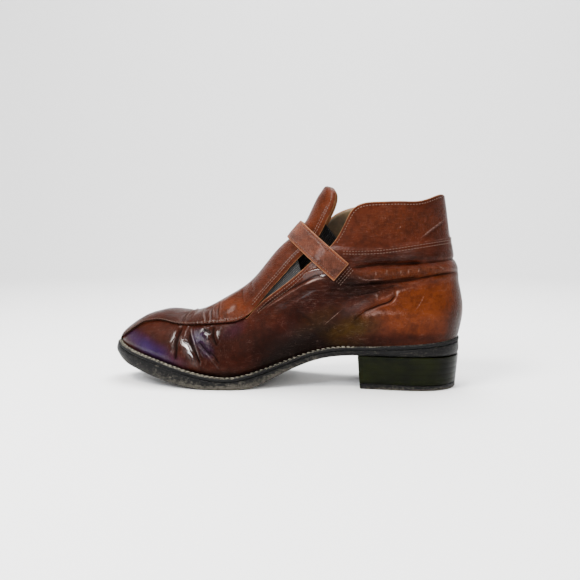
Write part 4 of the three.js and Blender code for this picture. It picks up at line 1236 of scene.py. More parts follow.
# Folds of the strip, placed by x and the distance from the middle line: tops rubbed pale with painted
# highlight, hollows given painted shade.
STRIP_FOLDS = (
    ("flex line", 1.0, 0.9, 1.2, [(73, 0), (72.5, 9), (70.5, 18), (69, 27)]),
    ("flex hollow", -1.0, 2.0, -0.5, [(70.5, 0), (70, 9), (67.8, 18), (66, 28)]),
    ("flex hollow behind", -0.6, 2.4, -0.2, [(78, 0), (77, 9), (74, 19), (73, 28)]),
    ("front rim of the first blister", 0.7, 0.7, 1.2,
     [(86.4, 12), (85.5, 17), (86.5, 22), (89, 27)]),
    ("top rim of the first blister", 0.5, 0.7, 0.8, [(86.3, 12.5), (88.5, 10.3), (91.8, 10)]),
    ("first blister", 0.5, 2.6, 0.0, [(89.4, 13), (89, 18), (90.4, 24)]),
    ("between the blisters", -0.8, 0.8, -0.9, [(92.6, 9), (92.2, 17), (94, 27)]),
    ("rim of the second blister", 0.6, 0.7, 1.1, [(93.8, 9), (93.6, 17), (95.4, 26)]),
    ("behind the second blister", -0.7, 0.9, -0.7, [(98.6, 8), (98, 17), (99.6, 27)]),
    ("last rim", 0.6, 0.8, 0.8, [(100, 8), (99.6, 17), (101, 26)]),
    ("instep bulge", 0.9, 7.0, 0.0, [(108, 4), (109, 12), (110, 22)]),
    ("behind the bulge", -0.7, 1.3, -0.4, [(118, 6), (119, 14), (123, 23)]),
    ("instep crease", -0.7, 1.2, -0.4, [(126, 6), (127, 14), (131, 22)]),
    ("tongue crease", -0.5, 1.4, -0.3, [(138, 3), (141, 10), (147, 18)]),
)


def seam_level(angle):
    """Level of the strip's seam: it climbs from the welt over the toe's crown to the line row."""
    foot = foot_x(angle)
    share = np.clip((foot - STRIP_FOOT) / (STRIP_FULL - STRIP_FOOT), 0, 1)
    climb = (LEVELS[2] - STRIP_TOE_LEVEL) * np.sin(share * math.pi / 2) ** 0.8
    return STRIP_TOE_LEVEL + climb + 0.06 * bell(foot - 42, 15)


def tongue_fall(turn):
    """How far the tongue has fallen from crest to edge at an angle across it."""
    return (1 - np.cos(turn)) ** 0.85


def strip_sheet(rows, columns):
    """The strip's inner face: rows across the boot from the toe over the vamp and up the tongue.

    A row of the vamp runs from crest to seam in angle and level, and a row of the tongue is a
    quarter ellipse from its crest back to each edge. A spline along the boot joins the rows.
    """
    across = np.linspace(-1, 1, columns)
    side = np.where(across < 0, MEDIAL, LATERAL)
    share = np.abs(across)
    start, full, last = angle_of(np.array([STRIP_FOOT, STRIP_FULL, STRIP_LAST]))
    toe = np.arange(6) / 6
    vamp = np.arange(11) / 10
    seam = np.concatenate([mix(start, full, toe), mix(full, last, vamp)])
    crest = np.concatenate([0 * toe, last * vamp])
    crest_level = np.concatenate([mix(STRIP_TOE_LEVEL, 1, toe), 1 + 0 * vamp])
    angle = mix(crest[:, None], seam[:, None], share[None])
    level = mix(crest_level[:, None], seam_level(seam)[:, None], share[None])
    sides = np.broadcast_to(side, angle.shape)
    vamp_rows = body(sides, angle, level)
    top = {key: values[-1] for key, values in TONGUE.items()}
    tip = np.array([0.4, 0.7, 0.88, 0.96, 0.99, 1.0])
    narrow = (1 - tip**3 * 0.99) ** 0.3
    crest_x = mix(top["crest_x"], TONGUE_TIP[0], tip)
    crest_z = mix(top["crest_z"], TONGUE_TIP[1], tip)
    ends = {
        "crest_x": crest_x, "crest_z": crest_z,
        "edge_x": crest_x + (top["edge_x"] - top["crest_x"]) * narrow,
        "edge_z": crest_z + (top["edge_z"] - top["crest_z"]) * narrow * (1 - 0.72 * tip),
        "half": top["half"] * narrow,
    }
    whole = {key: np.concatenate([TONGUE[key], ends[key]])[:, None] for key in TONGUE}
    turn = across[None] * math.pi / 2
    back = tongue_fall(turn)
    tongue_rows = np.stack(
        [
            mix(whole["crest_x"], whole["edge_x"], back), whole["half"] * np.sin(turn),
            mix(whole["crest_z"], whole["edge_z"], back),
        ],
        -1,
    )
    control = np.concatenate([vamp_rows, tongue_rows])
    gaps = np.linalg.norm(np.diff(control, axis=0), axis=-1).mean(1)
    reach = np.concatenate([[0], np.cumsum(np.sqrt(gaps))])
    flat = Curve(reach, control.reshape(len(control), -1))
    return flat(np.linspace(0, reach[-1], rows)).reshape(rows, columns, 3), across


class BOOT_OT_strip(bpy.types.Operator):
    """Strip along the vamp and tongue, with its puckered seam"""

    bl_idname = "boot.strip"
    bl_label = "Strip and tongue"

    def execute(self, context):
        sizes = context.scene.boot_sizes
        sheet, across = strip_sheet(*STRIP_NET)
        normals = sheet_normals(sheet)
        x, y = sheet[..., 0], np.abs(sheet[..., 1])
        on_vamp = smoothstep(134, 118, sheet[..., 2])
        height, rub = fold_relief(x, y, STRIP_FOLDS, sizes.fold_strength)
        sewn = smoothstep(*STRIP_SEWN, x)
        nearest_edge = np.where(across[None, :, None] < 0, sheet[:, :1], sheet[:, -1:])
        rim = np.linalg.norm(sheet - nearest_edge, axis=-1)
        gathers = np.sin(reach_of(sheet[:, 0]) * 2 * math.pi / PUCKER_PITCH)[:, None]
        pucker = gathers * bell(rim - 1.2, 1.6) * sewn
        groove = -0.25 * bell(rim - 2.0, 0.7) * sewn
        waves = 0.16 * ripple(*np.moveaxis(sheet, -1, 0), length=22, seed=11)
        waves = waves * smoothstep(40, 80, x)
        lift = height * on_vamp + pucker * sizes.pucker + groove + waves
        base = sheet + normals * STRIP_GAP
        top = base + normals * (STRIP_THICK + lift)[..., None]
        low = base + normals * np.minimum(lift, 0)[..., None] * 0.3
        middle = (top + low) / 2
        out_near = unit(sheet[:, 0] - sheet[:, 1]) * 0.5
        out_far = unit(sheet[:, -1] - sheet[:, -2]) * 0.5
        near, far = (middle[:, 0] + out_near)[:, None], (middle[:, -1] + out_far)[:, None]
        section = np.concatenate([top, far, low[:, ::-1], near], 1)
        edge_top = smoothstep(0.8, 0.0, rim) * 0.8 * (1 - sewn)
        raw = 1 - sewn[:, :1]
        edge = np.concatenate([edge_top, raw, np.ones_like(edge_top), raw], 1)
        # Fold tops rubbed pale with painted highlight and hollows given painted shade, a dark line
        # along the sewn edge, and a pale free edge.
        wear_and_light_top = rub * on_vamp - 0.8 * sewn * bell(rim - 0.1, 0.45)
        wear_and_light_top = wear_and_light_top + 0.45 * (1 - sewn) * bell(rim - 0.6, 0.6)
        worn = np.concatenate([wear_and_light_top, -sewn[:, :1], 0 * wear_and_light_top, -sewn[:, :1]], 1)
        palette = palette_table(context)
        sx, sz = section[..., 0], section[..., 2]
        amber = smoothstep(1.4, 0.3, np.hypot((sx - 110) / 16, (sz - 67) / 10)) * 0.4
        amber = amber + 0.2 * smoothstep(150, 175, sx)
        dark = smoothstep(104, 60, sx) * 0.75
        tint = mix(palette["chestnut"], palette["amber"], 0.1)
        tint = mix(tint, palette["amber"], amber[..., None])
        tint = mix(tint, palette["oxblood"], dark[..., None])
        make_piece(
            "strip_and_tongue", section, self.faces(len(section), len(across)),
            burnished_leather("strip leather", 0.0, 0.05), replaced=("vamp_strip_and_tongue",),
            slot="upper_leather", tint=tint, rub=worn, edge=edge,
            flex=patch(sx, sz, 88, 58, 30, 10, 0, 0.6),
            gloss=patch(sx, sz, 90, 58, 14, 8, 0, 0.15),
            slack=patch(sx, sz, 140, 95, 50, 30, 45, 0.25),
        )
        return {"FINISHED"}

    def faces(self, rows, columns):
        """The strip's walls, and each end closed by quads across it and a triangle at each edge.

        A row runs over the upper face, one edge point, back along the lower face and the other one.
        """
        count = 2 * columns + 2
        corner = columns - 1
        ends = quads_across(corner, 2 * columns)
        last = (rows - 1) * count
        near = np.array([[0, 2 * columns, 2 * columns + 1, 0]])
        far = np.array([[corner, columns, columns + 1, corner]])
        walls = grid_faces(rows, count, wrap_columns=True)
        backs = [last + near[:, [0, 2, 1, 3]], last + far[:, [0, 2, 1, 3]]]
        return np.concatenate([walls, ends[:, ::-1], last + ends, near, far, *backs])


# Strap


def strap_sheet(rows, columns):
    """The strap's inner face: rows across its width, each the same bend over the instep."""
    bend = STRAP_BEND
    reach = reach_of(np.stack([bend["down"], bend["front"]], -1))
    keys = np.stack([bend["down"], bend["front"], bend["back"]], -1)
    mirror = np.concatenate([keys[:0:-1] * [1, -1, -1], keys])
    along = np.concatenate([-reach[:0:-1], reach])
    course = Curve(along, mirror)(np.linspace(along[0], along[-1], columns))
    share = np.linspace(0, 1, rows)[:, None]
    half = mix(course[:, 1][None], course[:, 2][None], share)
    down = np.broadcast_to(course[:, 0][None], half.shape)
    wide = (share - 0.5) * STRAP_WIDTH + 0 * half
    x = STRAP_CREST[0] + down * math.cos(STRAP_FALL) + wide * math.sin(STRAP_FALL)
    z = STRAP_CREST[1] - down * math.sin(STRAP_FALL) + wide * math.cos(STRAP_FALL)
    return np.stack([x, half, z], -1)


def strap_solid(sheet):
    """The strap's section: crowned upper face, round edges, flat lower face."""
    normals = sheet_normals(sheet)
    rows = sheet.shape[0]
    share = np.linspace(-1, 1, rows)[:, None, None]
    crown = STRAP_THICK * (0.86 + 0.14 * (1 - share**4))
    groove = 0.28 * bell(np.abs(share) - STRAP_GROOVE, 0.06)
    top = sheet + normals * (crown - groove)

    def edge(last, before, normal):
        """Two rows of points round an edge: the upper one, then the lower."""
        out = unit(last - before)
        return [last + out * o + normal * STRAP_THICK * up for o, up in ((0.32, 0.72), (0.4, 0.36))]

    far = edge(sheet[-1:], sheet[-2:-1], normals[-1:])
    near = edge(sheet[:1], sheet[1:2], normals[:1])[::-1]
    return np.concatenate([top, *far, sheet[::-1], *near]), top, normals


class BOOT_OT_strap(bpy.types.Operator):
    """Broad strap over the instep, sewn down at both ends"""

    bl_idname = "boot.strap"
    bl_label = "Instep strap"

    def execute(self, context):
        sheet = strap_sheet(*STRAP_NET)
        section, _, _ = strap_solid(sheet)
        rows, columns = section.shape[:2]
        hubs = section[:, [0, -1]].mean(0)
        points = np.concatenate([section.reshape(-1, 3), hubs])
        first = np.arange(rows) * columns
        last = (first + columns - 1)[::-1]
        fans = [fan_faces(first, rows * columns), fan_faces(last, rows * columns + 1)]
        faces = np.concatenate([grid_faces(rows, columns, wrap_rows=True), *fans])
        wide = len(sheet)
        share = np.abs(np.linspace(-1, 1, wide))
        run_end = np.minimum(np.arange(columns), columns - 1 - np.arange(columns))
        edge = np.ones((rows, columns))
        at_side, at_end = smoothstep(0.93, 1.0, share), smoothstep(2.2, 0, run_end)
        edge[:wide] = np.maximum(at_side[:, None], at_end[None])
        rub = np.zeros((rows, columns))
        # Pale worn long edges, and painted shade in the stitched grooves.
        worn = smoothstep(0.86, 0.96, share) - bell(share - STRAP_GROOVE, 0.05)
        rub[:wide] = 0.5 * worn[:, None]
        palette = palette_table(context)
        # Painted light: the strap's top over the instep, where lit is high, is made more amber, less
        # dark and paler as a painted sheen.
        lit = smoothstep(16, 2, np.abs(section[..., 1]))
        rim = np.concatenate([smoothstep(0.6, 1.0, share), np.ones(rows - wide)])[:, None]
        amber = np.clip(0.3 + 0.9 * lit + 0.6 * rim, 0, 1)
        cloudy = smoothstep(-0.1, 0.5, ripple(*np.moveaxis(section, -1, 0), length=12, seed=21))
        dark = 0.75 * cloudy * (1 - rim) * (1 - 0.6 * lit)
        tint = mix(palette["chestnut"], palette["amber"], amber[..., None])
        tint = mix(tint, palette["oxblood"], dark[..., None])
        tint = mix(tint, STRAP_PALE_AND_SHEEN, (0.13 * lit + 0.08)[..., None])
        flat = np.concatenate([tint.reshape(-1, 3), tint[0, :1], tint[0, -1:]])
        make_piece(
            "instep_strap_leather", points, faces, burnished_leather("strap leather", -0.12, 0.02),
            replaced=("instep_strap",), slot="strap_leather", tint=flat,
            rub=np.append(rub.ravel(), [0, 0]), edge=np.append(edge.ravel(), [1, 1]),
            flex=np.full(len(flat), 0.4), slack=np.full(len(flat), 0.25),
            gloss=np.full(len(flat), 0.05),
        )
        return {"FINISHED"}


# Gores

GORE_TOP = {MEDIAL: 3.0, LATERAL: 5.8}
GORE_FEET = {MEDIAL: (131.0, 176.0), LATERAL: (131.0, 209.0)}
GORE_SAG = 2.5
GORE_RIBS, GORE_WALES = 62, 14  # waves of the weave along the gore and across it
INTO_THROAT = np.array([0.62, 0, -0.78])


def gore_sheet(side, rows, columns):
    """From under the tongue's edge to the inside of the quarter, sagging by half a sine."""
    share = np.linspace(0, 1, rows)
    step = np.arange(len(TONGUE["half"]))
    at = {key: np.interp(share * GORE_TOP[side], step, TONGUE[key]) for key in TONGUE}
    turn = 5 / 7 * math.pi / 2
    back = tongue_fall(turn)
    near = np.stack(
        [
            mix(at["crest_x"], at["edge_x"], back), side * (at["half"] * math.sin(turn) - 1.85),
            mix(at["crest_z"], at["edge_z"], back),
        ],
        -1,
    )
    near = near + INTO_THROAT * 2.4
    angle = mix(*(angle_of(foot) for foot in GORE_FEET[side]), share)
    levels = np.arange(0.3, 0.99, 0.005)
    grid = body(np.array(side), angle[:, None], levels[None])
    line = np.interp(grid[..., 0], *TOPLINES[MEDIAL].T)
    level = levels[np.argmax(grid[..., 2] > line - 5, axis=1)]
    one_side = np.full(rows, side)
    inside = WALL + GAP + GORE_THICK + 0.2
    far = body(one_side, angle, level) - body_normal(one_side, angle, level) * inside
    t = np.linspace(0, 1, columns)[None, :, None]
    return mix(near[:, None], far[:, None], t) + INTO_THROAT * GORE_SAG * np.sin(t * math.pi)


class BOOT_OT_gores(bpy.types.Operator):
    """Elastic gores between tongue and quarters"""

    bl_idname = "boot.gores"
    bl_label = "Elastic gores"

    def execute(self, context):
        material = woven_elastic("woven elastic")
        for side, name in ((MEDIAL, "medial"), (LATERAL, "lateral")):
            sheet = gore_sheet(side, rows=60, columns=40)
            normals = sheet_normals(sheet)
            top = sheet + normals * GORE_THICK
            points = np.concatenate([top, sheet[::-1]])
            rows, columns = points.shape[:2]
            faces = grid_faces(rows, columns, wrap_rows=True)
            half = len(sheet)
            end = quads_across(half - 1, rows - 1) * columns
            run, across = np.meshgrid(
                np.linspace(0, GORE_RIBS, half), np.linspace(0, GORE_WALES, columns), indexing="ij"
            )
            # Painted shade: the medial gore dark except next to the quarter, the lateral one dark all
            # over, and both dark at the top.
            shade = smoothstep(12.2, 11.0, across) if side < 0 else np.full(across.shape, 0.9)
            shade = np.maximum(shade, smoothstep(46, 58, run))
            layers = {"run": run, "across": across, "deep": shade}
            make_piece(
                f"gore_{name}_elastic", points,
                np.concatenate([faces, end[:, ::-1], end + columns - 1]), material,
                replaced=(f"elastic_gore_{name}",), slot="elastic",
                **{layer: np.concatenate([a, a[::-1]]) for layer, a in layers.items()},
            )
        return {"FINISHED"}


# Sole

TOE_LEAN, TOE_LEAN_ENDS = 2.6, 22.0
# Rings from the bottom up: how far each is drawn in, its share of the height, and how much it
# leans at the toe.
SOLE_EDGE = (
    (2.6, 0.0, 0.9), (1.5, 0.02, 0.9), (0.8, 0.1, 0.7), (0.35, 0.24, 0.4), (0.12, 0.42, 0.1),
    (0.15, 0.6, 0.0), (0.3, 0.8, 0.12), (0.45, 0.93, 0.25), (0.9, 1.0, 0.3),
)
WELT_EDGE = (
    (0.9, 0.0, 0.3), (0.35, 0.1, 0.3), (0.08, 0.3, 0.45), (0.0, 0.5, 0.6), (0.1, 0.72, 0.8),
    (0.35, 0.9, 0.95), (0.8, 0.99, 1.0), (1.4, 1.02, 1.0), (2.6, 0.96, 0.9), (4.0, 1.0, 0.5),
)
# Painted shade on the welt's top where it runs in under the upper: the share of sole colour on the
# last rings.
WELT_INSIDE_SHADE = [0.45, 0.7, 0.9, 1]
WELT_COLUMNS = 420
WHEEL_PITCH = 3.5  # columns from one wheel mark of the welt to the next


def sole_ring(count, inset, height, lean=0.0):
    """The sole's edge moved in by an inset, at a height that depends on x."""
    side, angle = ring(count)
    foot = foot_x(angle)
    leaning = TOE_LEAN * lean * (1 - smoothstep(TOE, TOE_LEAN_ENDS, foot))
    x, y = outline(side, angle, LEDGE(foot) - inset - leaning)
    return np.stack([x, y, height(x) + 0 * x], -1)


def cap_faces(count, first, up):
    """Quads straight across a ring, from the medial side to the lateral."""
    total = 2 * count - 2
    quad = first + quads_across(count - 1, total) % total
    return quad if up else quad[:, ::-1]


def ring_solid(rings, count):
    """Rings joined one over another and closed across at both ends."""
    points = np.concatenate(rings)
    total = 2 * count - 2
    walls = grid_faces(len(rings), total, wrap_columns=True)
    bottom = cap_faces(count, 0, False)
    top = cap_faces(count, (len(rings) - 1) * total, True)
    return points, np.concatenate([walls, bottom, top])


def tread_height(x):
    """The tread, flat on the floor under the ball."""
    return np.maximum(TREAD(x), 0)


class BOOT_OT_outsole(bpy.types.Operator):
    """Outsole plate with its rounded, scuffed edge"""

    bl_idname = "boot.outsole"
    bl_label = "Outsole"

    def execute(self, context):
        count = 320

        def between(share):
            return lambda x: mix(tread_height(x), WELT_TOP(x) - WELT_THICK - GAP, share)

        rings = [sole_ring(count, inset, between(share), lean) for inset, share, lean in SOLE_EDGE]
        seat = WELT_SEAT_WIDTH + GAP
        rings.append(sole_ring(count, seat, between(1.0)))
        rings.append(sole_ring(count, seat, WELT_TOP))
        points, faces = ring_solid(rings, count)
        share = np.repeat([s for _, s, _ in SOLE_EDGE] + [1, 1], len(rings[0]))
        ball = bell(points[:, 0] - 118, 60)
        worn = smoothstep(1.1, 0.1, share) * (0.15 + 0.85 * ball)
        worn = worn * smoothstep(235, 190, points[:, 0])
        material = worn_sole("worn sole")
        make_piece("outsole_edge", points, faces, material, ("outsole",), "sole_edge", worn=worn)
        return {"FINISHED"}


class BOOT_OT_welt(bpy.types.Operator):
    """Welt: a worn strip with a rounded edge and wheel marks; its row of stitches comes from the
    stitches operator
    """

    bl_idname = "boot.welt"
    bl_label = "Welt"

    def execute(self, context):
        count = WELT_COLUMNS

        def over(share):
            return lambda x: WELT_TOP(x) - WELT_THICK * (1 - share)

        rings = [sole_ring(count, inset, over(share), lean) for inset, share, lean in WELT_EDGE]
        rings.append(sole_ring(count, WELT_SEAT_WIDTH, WELT_TOP))
        rings.append(sole_ring(count, WELT_SEAT_WIDTH, over(0.0)))
        total = len(rings[0])
        run = np.arange(total)
        mark = 0.16 * (np.sin(run * 2 * math.pi / WHEEL_PITCH) > 0.55)
        for k in (5, 6, 7):
            rings[k][:, 2] -= mark * (rings[k][:, 0] < 235)
        points = np.concatenate(rings)
        faces = grid_faces(len(rings), total, wrap_rows=True, wrap_columns=True)
        behind = smoothstep(208, 250, points[:, 0]) * 0.85
        behind = np.maximum(behind, 0.3 * smoothstep(60, 110, points[:, 0]))
        # Below its pale top the welt's edge takes the sole colour, and its top gets painted shade
        # going in under the upper.
        under = [1.0 - smoothstep(0.72, 0.97, share) for _, share, _ in WELT_EDGE[:8]]
        under = np.repeat(under + WELT_INSIDE_SHADE, total)
        low = np.maximum(behind, under)
        material = worn_welt("worn welt")
        make_piece("welt_strip", points, faces, material, ("welt",), "welt_leather", low=low)
        return {"FINISHED"}


class BOOT_OT_insole(bpy.types.Operator):
    """Insole with its sock, darkened by an uneven painted shade deep in the boot"""

    bl_idname = "boot.insole"
    bl_label = "Insole"

    def execute(self, context):
        count = 160
        side, angle = ring(count)

        def at(lift, extra):
            x, y = outline(side, angle, -WALL - 1.4 - extra)
            return np.stack([x, y, WELT_TOP(x) + lift], -1)

        rings = [at(GAP, 0.3), at(GAP + 0.5, 0), at(GAP + 1.7, 0), at(GAP + INSOLE_THICK, 0.9)]
        points, faces = ring_solid(rings, count)
        # Painted shade over the whole sock deep in the boot, uneven in soft waves.
        deep = 0.35 + 0.3 * ripple(*points.T, length=40, seed=9)
        material = lining_leather("sock leather")
        deep = np.clip(deep, 0, 1)
        make_piece("insole_sock", points, faces, material, ("insole",), "insole_leather", deep=deep)
        return {"FINISHED"}


def heel_outline(count, height, extra=0.0):
    """The heel in plan at a height: the sole's outline behind the breast, its corners rounded."""
    taper = HEEL_TAPER * (1 - height / HEEL_HIGH) + 0.4 + extra
    breast = HEEL_BREAST + BREAST_SLOPE * (1 - height / HEEL_HIGH) + extra
    side, angle = ring(900)
    x, y = outline(side, angle, LEDGE(foot_x(angle)) - taper)
    keep = x > breast
    start = np.argmax(keep & ~np.roll(keep, 1))
    order = (start + np.arange(keep.sum())) % len(x)
    wall = np.stack([x[order], y[order]], -1)
    wall[0, 0] = wall[-1, 0] = breast
    front = np.stack([np.full(60, breast), np.linspace(wall[-1, 1], wall[0, 1], 62)[1:-1]], -1)
    loop = np.concatenate([wall, front])
    closed = np.concatenate([loop, loop[:1]])
    reach = reach_of(closed)
    dense = along_line(np.linspace(0, reach[-1], HEEL_STEPS, endpoint=False), reach, closed)
    kernel = np.hanning(2 * HEEL_SOFTEN + 1)
    kernel = kernel / kernel.sum()
    wrapped = np.concatenate([dense[-HEEL_SOFTEN:], dense, dense[:HEEL_SOFTEN]])
    smooth = np.stack([np.convolve(column, kernel, "valid") for column in wrapped.T], -1)
    plan = smooth[:: HEEL_STEPS // count]
    return np.concatenate([plan, np.full((len(plan), 1), height)], 1)


def heel_solid(heights, count):
    """Loops of the heel at their heights, closed by a fan at each end."""
    loops = [heel_outline(count, z, extra) for z, extra in heights]
    total = len(loops[0])
    points = np.concatenate(loops)
    walls = grid_faces(len(loops), total, wrap_columns=True)
    hubs = np.array([loops[0].mean(0), loops[-1].mean(0)])
    ring_low = np.arange(total)[::-1]
    ring_high = np.arange(total) + (len(loops) - 1) * total
    fans = [fan_faces(ring_low, len(points)), fan_faces(ring_high, len(points) + 1)]
    return np.concatenate([points, hubs]), np.concatenate([walls, *fans])


class BOOT_OT_heel(bpy.types.Operator):
    """Stacked heel with faint layers, and its rubber top piece"""

    bl_idname = "boot.heel"
    bl_label = "Heel"

    def execute(self, context):
        # Loops of the heel: height, and how far each is drawn in.
        low, high = LIFT_THICK + GAP, HEEL_HIGH
        layers = 5
        heights = [(low, 0.5), (low + 0.25, 0.12), (low + 0.6, 0.0)]
        for k in range(1, layers):
            z = mix(low, high, k / layers)
            heights += [(z - 0.35, 0.0), (z, 0.09), (z + 0.35, 0.0)]
        heights += [(high - 0.6, 0.0), (high - 0.2, 0.08), (high, 0.4)]
        points, faces = heel_solid(heights, 300)
        material = lacquered_heel("lacquered heel")
        make_piece("heel_stack", points, faces, material, ("heel_block",), "heel_stack")
        heights = [(0.0, 1.1), (0.25, 0.45), (0.9, 0.08)]
        heights += [(LIFT_THICK - 0.7, 0.0), (LIFT_THICK - 0.2, 0.1), (LIFT_THICK, 0.45)]
        points, faces = heel_solid(heights, 300)
        worn = smoothstep(2.5, 0.0, points[:, 2])
        rubber = worn_sole("heel rubber")
        nodes = ("heel_top_piece",)
        make_piece("heel_rubber", points, faces, rubber, nodes, "heel_rubber", worn=worn)
        return {"FINISHED"}


# Stitches

BAR_RINGS = 6
THREAD_SHARE = 0.72  # the part of a stitch's pitch that its thread covers
STRAP_THREAD = 0.8  # thickness of the strap's thread over the upper's
WELT_THREAD = 0.8
FACING_ROWS = (2.4, 4.6)  # the rows' distances from the throat's edge
STRAP_FOOT_ROWS = (1.2, 3.2, 5.2)  # and from the strap's end
# Rows of the strip: distance from its edge, and the stretch of x that they cover.
STRIP_ROWS = ((3.6, 128, 194), (5.6, 128, 190), (2.0, 14, 122))


def stitch_cloud(places, normals, tangents, length, thick, sink):
    """One small rounded bar per place: six rings of six points, partly sunk.

    A ring at a share t along the bar has the radius sqrt(1 - |t|^2.6), or a quarter at the ends.
    """
    around = np.linspace(0, 2 * math.pi, BAR_RINGS, endpoint=False)
    along = np.linspace(-1, 1, BAR_RINGS)
    radius = np.sqrt(np.maximum(1 - np.abs(along) ** 2.6, 0.0))
    radius[[0, -1]] = 0.25
    local = np.stack(
        np.broadcast_arrays(
            along[:, None] * length / 2, np.cos(around)[None] * radius[:, None] * thick / 2,
            np.sin(around)[None] * radius[:, None] * thick / 2,
        ),
        -1,
    ).reshape(-1, 3)
    sideways = unit(np.cross(normals, tangents))
    base = places + normals * thick * (0.5 - sink)
    points = (
        base[:, None]
        + local[None, :, :1] * tangents[:, None]
        + local[None, :, 1:2] * sideways[:, None]
        + local[None, :, 2:] * normals[:, None]
    )
    ends = np.array([[5, 4, 3, 2], [5, 2, 1, 0], [30, 31, 32, 33], [30, 33, 34, 35]])
    one = np.concatenate([grid_faces(BAR_RINGS, BAR_RINGS, wrap_columns=True), ends])
    faces = (np.arange(len(places))[:, None, None] * BAR_RINGS**2 + one[None]).reshape(-1, 4)
    return points.reshape(-1, 3), faces


def spaced(points, normals, pitch):
    """Places, normals and tangents at equal steps along a line of points."""
    reach = reach_of(points)
    at = np.arange(pitch / 2, reach[-1], pitch)
    normal = unit(along_line(at, reach, normals))
    ahead, behind = (along_line(at + step, reach, points) for step in (0.3, -0.3))
    tangent = unit(ahead - behind)
    tangent = unit(tangent - normal * np.sum(tangent * normal, -1, keepdims=True))
    return along_line(at, reach, points), normal, tangent


def upper_row(side, course, strength, samples=160):
    """A line on the folded upper that passes the course's points, seen from the side."""
    course = np.array(course, dtype=float)
    reach = reach_of(course)
    line = along_line(np.linspace(0, reach[-1], samples), reach, course)
    angle, level = locate(side, line[:, 0], line[:, 1])
    sides = np.full(samples, side)
    point, normal, height, _ = upper_surface(sides, angle, level, strength)
    return point + normal * height[:, None], normal


def moved_in(course, distance):
    """A course moved to its right by a distance."""
    course = np.asarray(course, dtype=float)
    run = unit(np.gradient(course, axis=0))
    return course + np.stack([run[:, 1], -run[:, 0]], -1) * distance


class BOOT_OT_stitches(bpy.types.Operator):
    """Rows of stitches on collar, facings, tongue, strap, vamp seam and welt"""

    bl_idname = "boot.stitches"
    bl_label = "Stitches"

    def execute(self, context):
        sizes, palette = context.scene.boot_sizes, context.scene.boot_colours
        pitch, thick, strength = sizes.stitch_pitch, sizes.stitch_thick, sizes.fold_strength
        thread = waxed_thread("brown thread", palette.thread)
        rows = []
        for side in (MEDIAL, LATERAL):
            xs = np.linspace(204, 293, 60)
            for drop in COLLAR_ROWS:
                rows.append(upper_row(side, np.stack([xs, COLLAR_LINE(xs) - drop], -1), strength))
            edge = TOPLINES[side]
            collar = edge[(edge[:, 0] > (197 if side < 0 else 190)) & (edge[:, 0] < 285)]
            rows.append(upper_row(side, moved_in(collar, 2.3), strength))
            quarter = edge[EDGE_STEPS:]
            facing = (quarter[:, 0] > 130) & (quarter[:, 0] < 190) & (quarter[:, 1] > 64)
            throat = quarter[facing]
            for inset in FACING_ROWS:
                rows.append(upper_row(side, moved_in(throat, inset), strength))
            down = np.array([math.cos(STRAP_FALL), -math.sin(STRAP_FALL)])
            wide = np.array([math.sin(STRAP_FALL), math.cos(STRAP_FALL)])
            foot = np.array(STRAP_CREST) + down * (STRAP_BEND["down"][-1] + 0.8)
            for beyond in STRAP_FOOT_ROWS:
                ends = [foot + down * beyond + wide * s * STRAP_WIDTH for s in (-0.5, 0.5)]
                rows.append(upper_row(side, ends, strength, 40))
        self.sew("upper_stitches", rows, pitch, thick, thread, "upper_leather")
        self.sew("strip_stitches", self.strip_rows(), pitch, thick, thread, "upper_leather")
        dark = waxed_thread("dark thread", palette.thread_dark)
        rows = self.strap_rows()
        self.sew("strap_stitches", rows, pitch, thick * STRAP_THREAD, dark, "strap_leather")
        pale = waxed_thread("welt thread", palette.welt)
        rows, pitch = self.welt_rows(), sizes.welt_pitch
        self.sew("welt_stitches", rows, pitch, WELT_THREAD, pale, "welt_leather", 0.7, 0.3)
        return {"FINISHED"}

    def sew(self, name, rows, pitch, thick, material, slot, share=THREAD_SHARE, sink=0.25):
        """All rows as one mesh of stitches."""
        parts = [np.concatenate(group) for group in zip(*(spaced(*row, pitch) for row in rows))]
        points, faces = stitch_cloud(*parts, pitch * share, thick, sink)
        make_piece(name, points, faces, material, slot=slot)

    def strip_rows(self):
        """Two rows inside each edge of the tongue and one along the vamp seam."""
        sheet, _ = strip_sheet(*STRIP_NET)
        normals = sheet_normals(sheet)
        top = sheet + normals * (STRIP_GAP + STRIP_THICK)
        crest = (STRIP_NET[1] + 1) // 2
        rows = []
        for flip in (False, True):
            face = top[:, ::-1] if flip else top
            normal = normals[:, ::-1] if flip else normals
            steps = np.linalg.norm(np.diff(face, axis=1), axis=-1)
            reach = np.concatenate([np.zeros((len(face), 1)), np.cumsum(steps, axis=1)], 1)
            for inset, low, high in STRIP_ROWS:
                index = np.array([np.interp(inset, r[:crest], np.arange(crest)) for r in reach])
                k = np.floor(index).astype(int)
                t = (index - k)[:, None]
                pick = np.arange(len(face))
                line = mix(face[pick, k], face[pick, k + 1], t)
                up = unit(mix(normal[pick, k], normal[pick, k + 1], t))
                wide = reach[:, crest - 1] > inset + 5
                keep = (line[:, 0] > low) & (line[:, 0] < high) & wide
                rows.append((line[keep], up[keep]))
        return rows

    def strap_rows(self):
        """A row inside each long edge of the strap."""
        sheet = strap_sheet(*STRAP_NET)
        _, top, normals = strap_solid(sheet)
        return [(top[k], normals[k]) for k in (5, 35)]

    def welt_rows(self):
        """A row on the welt's ledge, from waist to waist round the toe."""
        line = sole_ring(WELT_COLUMNS, 2.5, lambda x: WELT_TOP(x) - 0.1, 0.9)
        half = np.argmax(line[:, 0] > 232)
        line = np.concatenate([line[-half:], line[:half]])
        return [(line, np.broadcast_to([0.0, 0.0, 1.0], line.shape))]


# Stage

